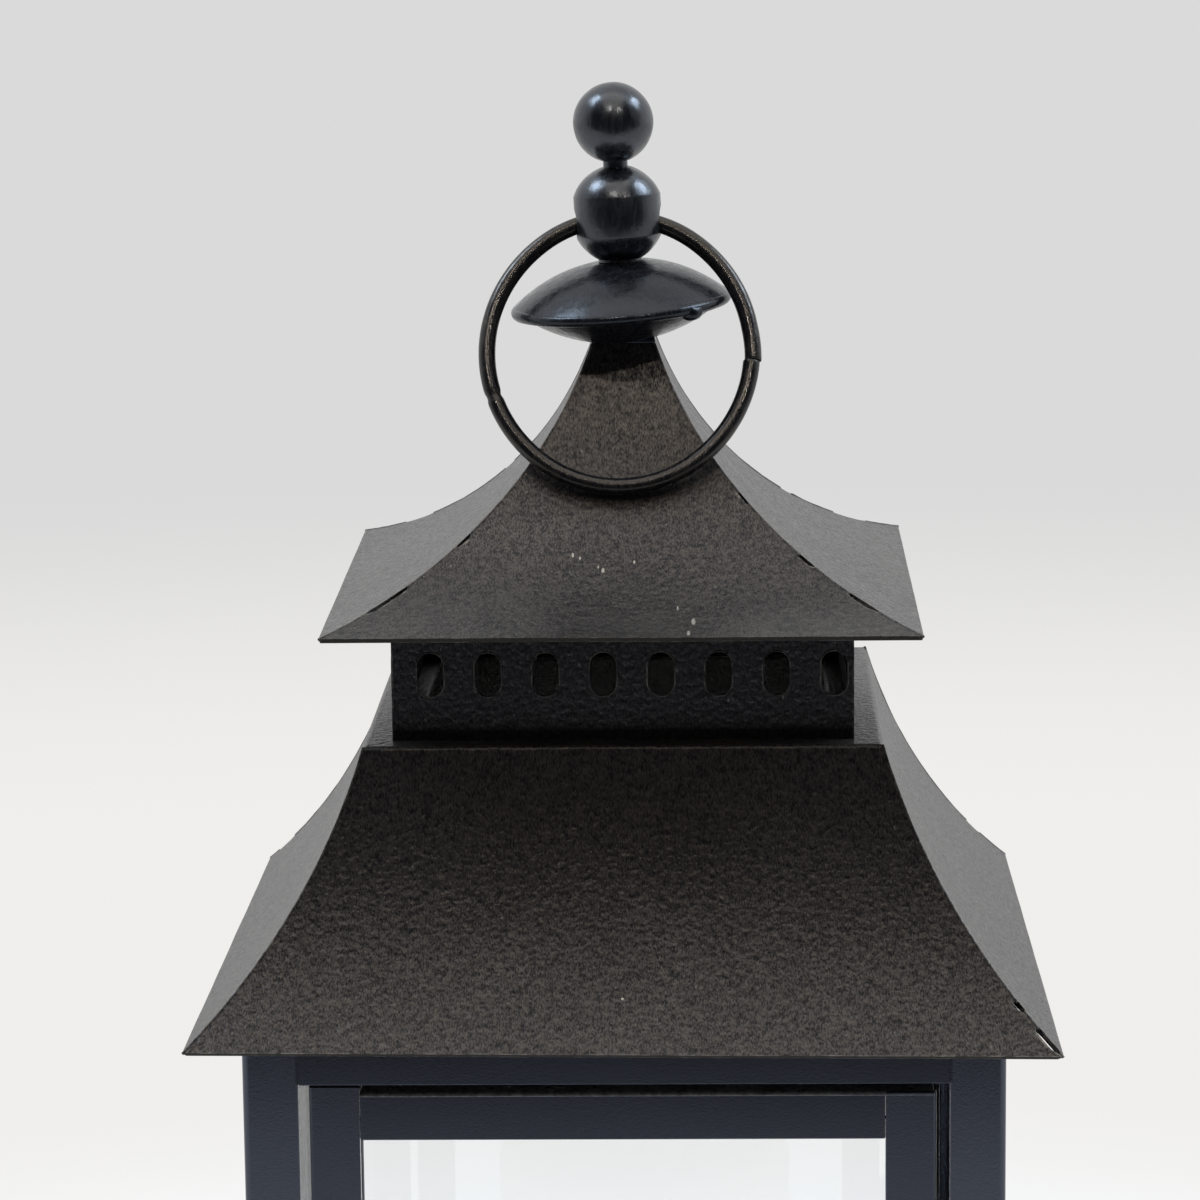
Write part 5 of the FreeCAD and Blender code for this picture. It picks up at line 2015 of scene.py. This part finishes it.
@dataclass
class Door:
    """Hinged front: frame, pane and hinges; its turn latch is built on its own."""

    edge: float = 0.24 * MM
    clip_edge: float = 0.14 * MM
    glass_edge: float = 0.30 * MM
    rivet_head: float = 0.95 * MM
    rivet_height: float = 0.45 * MM
    rivet_shank: float = 0.6 * MM
    rivet_rise: float = 5.2 * MM  # hinge's middle to each of its rivets
    rivet_share: float = 0.36  # rivets' place, as a share of the way from a leaf's edge to the pin
    hinge_half: float = 9 * MM  # half the length of a hinge
    pin_edge: float = 0.25 * MM
    leaf_sheet: float = 0.8 * MM
    return_depth: float = 6.5 * MM  # lip folded in along the door's top
    return_lip: float = 2.0 * MM
    return_inset: float = 0.4 * MM
    return_nose: float = 0.65 * MM
    return_proud: float = 0.03 * MM
    return_edge: float = 0.1 * MM
    tip_rise: float = 1.0 * MM  # how far the latch stile reaches above the rail

    def build(self) -> list[Piece]:
        """Build the door and what it hangs on.

        Returns:
            The pieces.
        """
        pieces = soften(["door_stile_hinge"], Body.DOOR, SATIN, self.edge)
        # The rails take the duller copy of the satin, painted shade.
        pieces += soften(["door_top_rail", "door_bottom_rail"], Body.DOOR, RAIL_PAINTED_SHADE, self.edge)
        stile = "door_stile_latch"
        pieces.append(add_piece(f"{stile}_raised", self.raised(stile), Body.DOOR, SATIN, [stile], self.edge))
        pieces += soften(["door_glass"], Body.DOOR, GLASS, self.glass_edge)
        pieces += soften(["door_glass_clips"], Body.DOOR, ZINC, self.clip_edge)
        pieces += soften(["hinge_leaves_door"], Body.DOOR, SATIN, self.clip_edge)
        pieces += soften(["hinge_leaves_post"], Body.LANTERN, SATIN, self.clip_edge)
        pieces += soften(["hinge_pins"], Body.LANTERN, ZINC, self.pin_edge)
        for node, body in (("hinge_leaves_door", Body.DOOR), ("hinge_leaves_post", Body.LANTERN)):
            pieces.append(add_piece(f"{node}_rivets", self.hinge_rivets(node), body, SATIN))
        # The top lip takes the lightened satin: a painted highlight on its nose and painted light on its
        # shaded top.
        lip = self.top_return()
        pieces.append(add_piece("door_top_return", lip, Body.DOOR, SATIN_PAINTED_HIGHLIGHT, edge=self.return_edge))
        return pieces

    def raised(self, node: str) -> Mesh:
        """Stile whose upper end stands a little above the rail.

        Args:
            node: The stile.

        Returns:
            Its mesh.
        """
        mesh = part_mesh(node)
        _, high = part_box(node)
        for vertex in mesh.vertices:
            if vertex.co.z > high.z - self.tip_rise:
                vertex.co.z += self.tip_rise
        return mesh

    def top_return(self) -> Mesh:
        """Lip folded in along the door's top: a round nose in front and an edge turned down behind.

        Returns:
            The mesh, in place.
        """
        low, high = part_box("door_top_rail")
        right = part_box("door_stile_hinge")[1].x - self.return_inset
        nose, sheet = self.return_nose, self.leaf_sheet
        middle = (low.y + nose - self.return_proud, high.z - nose + self.return_proud)
        back = high.y + self.return_depth
        top = middle[1] + nose
        profile = [
            *arc(middle, nose, 180, 90, steps=8), (back, top), (back, top - self.return_lip),
            (back - sheet, top - self.return_lip), (back - sheet, top - sheet), (low.y + sheet, top - sheet),
            (low.y + sheet, middle[1]),
        ]
        return extruded(profile, low.x, right)

    def hinge_rivets(self, node: str) -> Mesh:
        """Small rivets that hold one pair of leaves.

        Args:
            node: The leaves.

        Returns:
            The mesh, in place.
        """
        low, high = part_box(node)
        pin_low, pin_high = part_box("hinge_pins")
        axis_x = (pin_low.x + pin_high.x) / 2
        edge_x = low.x if node.endswith("door") else high.x
        middle_x = edge_x + (axis_x - edge_x) * self.rivet_share
        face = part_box("door_stile_hinge")[0].y - self.leaf_sheet
        middle_y = face + self.leaf_sheet / 2
        places = []
        for middle_z in (low.z + self.hinge_half, high.z - self.hinge_half):
            for hand in (-1, 1):
                places.append(Vector((middle_x, middle_y, middle_z + hand * self.rivet_rise)))
        return rivet_tree().grow(SATIN, {
            "Head Radius": self.rivet_head,
            "Head Height": self.rivet_height,
            "Shank Radius": self.rivet_shank,
            "Grip": self.leaf_sheet,
            "Tilt": math.pi / 2,
        }, guide_mesh(places))


@dataclass
class Latch:
    """Turn latch: ball knob, collar and spindle, with its tongue."""

    ball: float = 3.0 * MM
    stem: float = 1.5 * MM
    collar: float = 2.5 * MM
    collar_height: float = 0.8 * MM
    spindle: float = 1.25 * MM
    peen: float = 1.7 * MM
    peen_height: float = 0.5 * MM
    peen_tip: float = 0.8  # radius of its end, as a share of the peen's own
    gap: float = 0.3 * MM
    edge: float = 0.2 * MM
    knob_edge: float = 0.12 * MM

    def build(self) -> list[Piece]:
        """Build the latch.

        Returns:
            The pieces.
        """
        knob = add_piece(
            "latch_knob_turned", self.knob(), Body.LATCH, FINIAL, ["latch_knob"], self.knob_edge
        )
        return [knob, *soften(["latch_tongue"], Body.LATCH, ZINC, self.edge)]

    def knob(self) -> Mesh:
        """Knob turned about the spindle.

        Returns:
            The mesh, in place.
        """
        low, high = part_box("latch_knob")
        length = high.y - low.y
        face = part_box("door_stile_latch")[0].y - self.gap - low.y
        stem_turn = math.degrees(math.acos(self.stem / self.ball))
        collar_front = face - self.collar_height
        peen_front = length - self.peen_height
        profile = [(0.0, 0.0), *arc((0.0, self.ball), self.ball, -86, stem_turn, steps=24)]
        profile += [(self.stem, collar_front), (self.collar, collar_front), (self.collar, face)]
        profile += [(self.spindle, face), (self.spindle, peen_front), (self.peen, peen_front)]
        profile += [(self.peen * self.peen_tip, length), (0.0, length)]
        mesh = turned(profile, steps=48)
        middle = Vector(((low.x + high.x) / 2, low.y, (low.z + high.z) / 2))
        mesh.transform(Matrix.Translation(middle) @ Matrix.Rotation(-math.pi / 2, 4, "X"))
        return mesh


def direction(azimuth: float, elevation: float) -> Vector:
    """Unit vector so many degrees to the right of the front and above level."""
    turn, lift = math.radians(azimuth), math.radians(elevation)
    return Vector((math.sin(turn) * math.cos(lift), -math.cos(turn) * math.cos(lift), math.sin(lift)))


@dataclass
class Studio:
    """Pale floor, soft lamps, pale surroundings and the camera."""

    floor_reach: float = 9.0
    floor_depth: float = 2 * MM
    floor_roughness: float = 0.9
    floor_gloss: float = 0.1
    floor_blend: Point2 = (0.20, 0.50)  # distances over which the lit floor turns into a glowing one
    floor_fade: Point2 = (0.80, 1.70)  # distances over which that takes the surroundings' grey
    near_floor: Colour = (0.92, 0.918, 0.91)
    mid_floor: Colour = (0.87, 0.86, 0.84)
    surround: Colour = (0.70, 0.70, 0.70)
    mirrored: Colour = (0.90, 0.90, 0.90)  # the surroundings as the object mirrors them
    room_front: Colour = (0.035, 0.035, 0.04)
    room_fade: Point2 = (-0.25, 0.55)  # from the pale sides to the room behind the camera
    table_edge: float = 0.560  # where the pale floor ends, towards the room behind the camera
    table_blur: float = 0.055
    daylight: Colour = (0.74, 0.86, 1.0)
    lamplight: Colour = (1.0, 0.91, 0.80)
    spotlight: Colour = (1.0, 0.90, 0.79)
    spot_power: float = 26.0  # watts
    spot_cone: float = 2.7  # degrees across
    spot_blend: float = 0.5
    spot_bulb: float = 0.045
    spot_distance: float = 1.5
    spot_aim: Triple = (0.0, -0.012, 0.287)
    eye: Triple = (15.7 * MM, -742.8 * MM, 363.6 * MM)
    yaw: float = -1.569
    pitch: float = 10.169
    roll: float = 0.64
    lens: float = 129.54
    sensor: float = 36.0

    def build(self) -> None:
        """Build the floor, the light and the camera."""
        self.floor()
        self.world()
        self.lamp("left_window", (-96, 55), distance=1.5, size=0.50, power=9.0, colour=self.daylight)
        self.lamp("right_window", (102, 47), distance=1.5, size=0.50, power=9.0, colour=self.daylight)
        self.lamp("warm_ceiling", (0, 76), distance=1.3, size=1.10, power=5.1, colour=self.lamplight)
        self.spot("warm_left", (-12, 45))
        self.spot("warm_right", (22, 39))
        self.camera()

    def floor(self) -> None:
        """Round floor that keeps the shadow and fades to the grey of the surroundings."""
        low, reach = -self.floor_depth, self.floor_reach
        mesh = turned([(0.0, low), (reach, low), (reach, 0.0), (0.0, 0.0)], steps=96)
        surface = Surface("studio_floor")
        surface.set(Base_Color=self.near_floor, Roughness=self.floor_roughness)
        surface.set(Specular_IOR_Level=self.floor_gloss)
        away = surface.length(surface.place)
        pale = surface.tint(surface.ramp(away, *self.floor_fade, smooth=True), self.mid_floor, self.surround)
        ahead = surface.axis(surface.place, "Y")
        beyond = surface.ramp(ahead, -self.table_edge, -self.table_edge - self.table_blur, smooth=True)
        dark = surface.times(beyond, surface.minus(1.0, surface.seen()))
        glow = surface.out("ShaderNodeEmission", {"Color": surface.tint(dark, pale, self.room_front)})
        surface.blend(surface.ramp(away, *self.floor_blend, smooth=True), glow)
        mesh.materials.append(surface.material)
        ground = linked("studio_floor", mesh)

    def world(self) -> None:
        """Pale surroundings, with a darker room behind the camera for what the object mirrors."""
        world = bpy.data.worlds.new("studio")
        world.use_nodes = True
        bpy.context.scene.world = world
        wiring = Wiring(world.node_tree)
        towards = wiring.add("ShaderNodeTexCoord").outputs["Generated"]
        ahead = wiring.dot(towards, (0.0, -1.0, 0.0))
        room = wiring.tint(wiring.ramp(ahead, *self.room_fade, smooth=True), self.mirrored, self.room_front)
        background = world.node_tree.nodes["Background"]
        wiring.feed(background.inputs["Color"], wiring.tint(wiring.seen(), room, self.surround))

    def lamp(self, name: str, way: Point2, distance: float, size: float, power: float, colour: Colour
             ) -> None:
        """Soft square lamp that faces the lantern's middle.

        Args:
            name: Name of the lamp.
            way: Degrees to the right of the front and above level.
            distance: From the lantern's middle.
            size: Side of the square.
            power: Watts.
            colour: Its light.
        """
        data = bpy.data.lights.new(name, "AREA")
        data.shape = "SQUARE"
        data.size = size
        data.energy = power
        data.color = colour
        low, high = cad_box
        self.hang(linked(name, data), (low + high) / 2, way, distance)

    def spot(self, name: str, way: Point2) -> None:
        """Small warm lamp, front and above, that reaches only the upper roof and the finial.

        Args:
            name: Name of the lamp.
            way: Degrees to the right of the front and above level.
        """
        data = bpy.data.lights.new(name, "SPOT")
        data.energy = self.spot_power
        data.color = self.spotlight
        data.spot_size = math.radians(self.spot_cone)
        data.spot_blend = self.spot_blend
        data.shadow_soft_size = self.spot_bulb
        self.hang(linked(name, data), Vector(self.spot_aim), way, self.spot_distance)

    @staticmethod
    def hang(lamp: Piece, aim: Vector, way: Point2, distance: float) -> None:
        """Put a lamp in its place and turn it to what it lights.

        Args:
            lamp: The lamp, which changes.
            aim: The point that it faces.
            way: Degrees to the right of the front and above level.
            distance: From that point.
        """
        back = direction(*way)
        lamp.location = aim + back * distance
        lamp.rotation_euler = back.to_track_quat("Z", "Y").to_euler()

    def camera(self) -> None:
        """Camera at the photograph's place and angle."""
        yaw, pitch, roll = (math.radians(angle) for angle in (self.yaw, self.pitch, self.roll))
        forward = Vector((math.sin(yaw) * math.cos(pitch), math.cos(yaw) * math.cos(pitch), -math.sin(pitch)))
        level = Vector((math.cos(yaw), -math.sin(yaw), 0.0))
        down = forward.cross(level)
        right = math.cos(roll) * level + math.sin(roll) * down
        below = math.cos(roll) * down - math.sin(roll) * level
        data = bpy.data.cameras.new("camera")
        data.lens = self.lens
        data.sensor_width = self.sensor
        camera = linked("camera", data)
        turn = Matrix((right, -below, -forward)).transposed().to_4x4()
        camera.matrix_world = Matrix.Translation(self.eye) @ turn
        bpy.context.scene.camera = camera


def roofs() -> list[RoofTier]:
    """Both storeys of roof, sized from the parts.

    Returns:
        The lower and the upper one.
    """
    low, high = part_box("lower_roof_front")
    neck_low, neck_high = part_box("neck_cap")
    lower = ConcaveArc(
        eave_half=-low.y, eave_height=high.z - 45.5 * MM, top_half=43.2 * MM, top_height=high.z, sag=3.6 * MM
    )
    upper_half = -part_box("upper_roof_front")[0].y
    upper = ConcaveArc(
        eave_half=upper_half, eave_height=neck_low.z - 42.2 * MM, top_half=neck_high.x, top_height=neck_low.z,
        sag=7.3 * MM,
    )
    lower_slits = [[(2.1, 4.6), (6.4, 1.5)], [(6.6, 4.0)], [(3.7, 5.0)], []]
    upper_slits = [
        [(9.3, 6.6), (18.5, 3.4), (28.9, 2.4)],
        [(9.3, 9.0), (21.1, 3.0)],
        [(10.9, 8.0), (28.5, 2.6)],
        [(10.3, 9.4), (22.6, 3.0)],
    ]
    lower_lifts = [0.0, -0.7 * MM, -0.7 * MM, 1.1 * MM]
    upper_lifts = [-0.9 * MM, 1.3 * MM, 1.2 * MM, -0.8 * MM]
    return [
        RoofTier(
            "lower_roof", lower, in_metres(lower_slits), lower_lifts, ledge_inner=-high.y, slit_width=1.7 * MM
        ),
        RoofTier("upper_roof", upper, in_metres(upper_slits), upper_lifts),
    ]


def in_metres(slits: Sequence[Sequence[Point2]]) -> list[list[Point2]]:
    """Slits written in millimetres, in metres."""
    return [[(inset * MM, length * MM) for inset, length in hip] for hip in slits]


def main() -> None:
    """Build every sub-assembly, then the studio."""
    logging.basicConfig(level=logging.INFO, format="%(message)s")
    bpy.context.scene.view_settings.view_transform = "Standard"
    upper_half = [*roofs(), VentCollar(), Finial(), HangingRing()]
    lower_half = [BodyFrame(), Base(), CandleSet(), Door(), Latch()]
    for assembly in upper_half + lower_half:
        for piece in assembly.build():
            LOG.info("%s: %d faces", piece.name, len(piece.data.polygons))
    Studio().build()


if __name__ == "__main__":
    main()
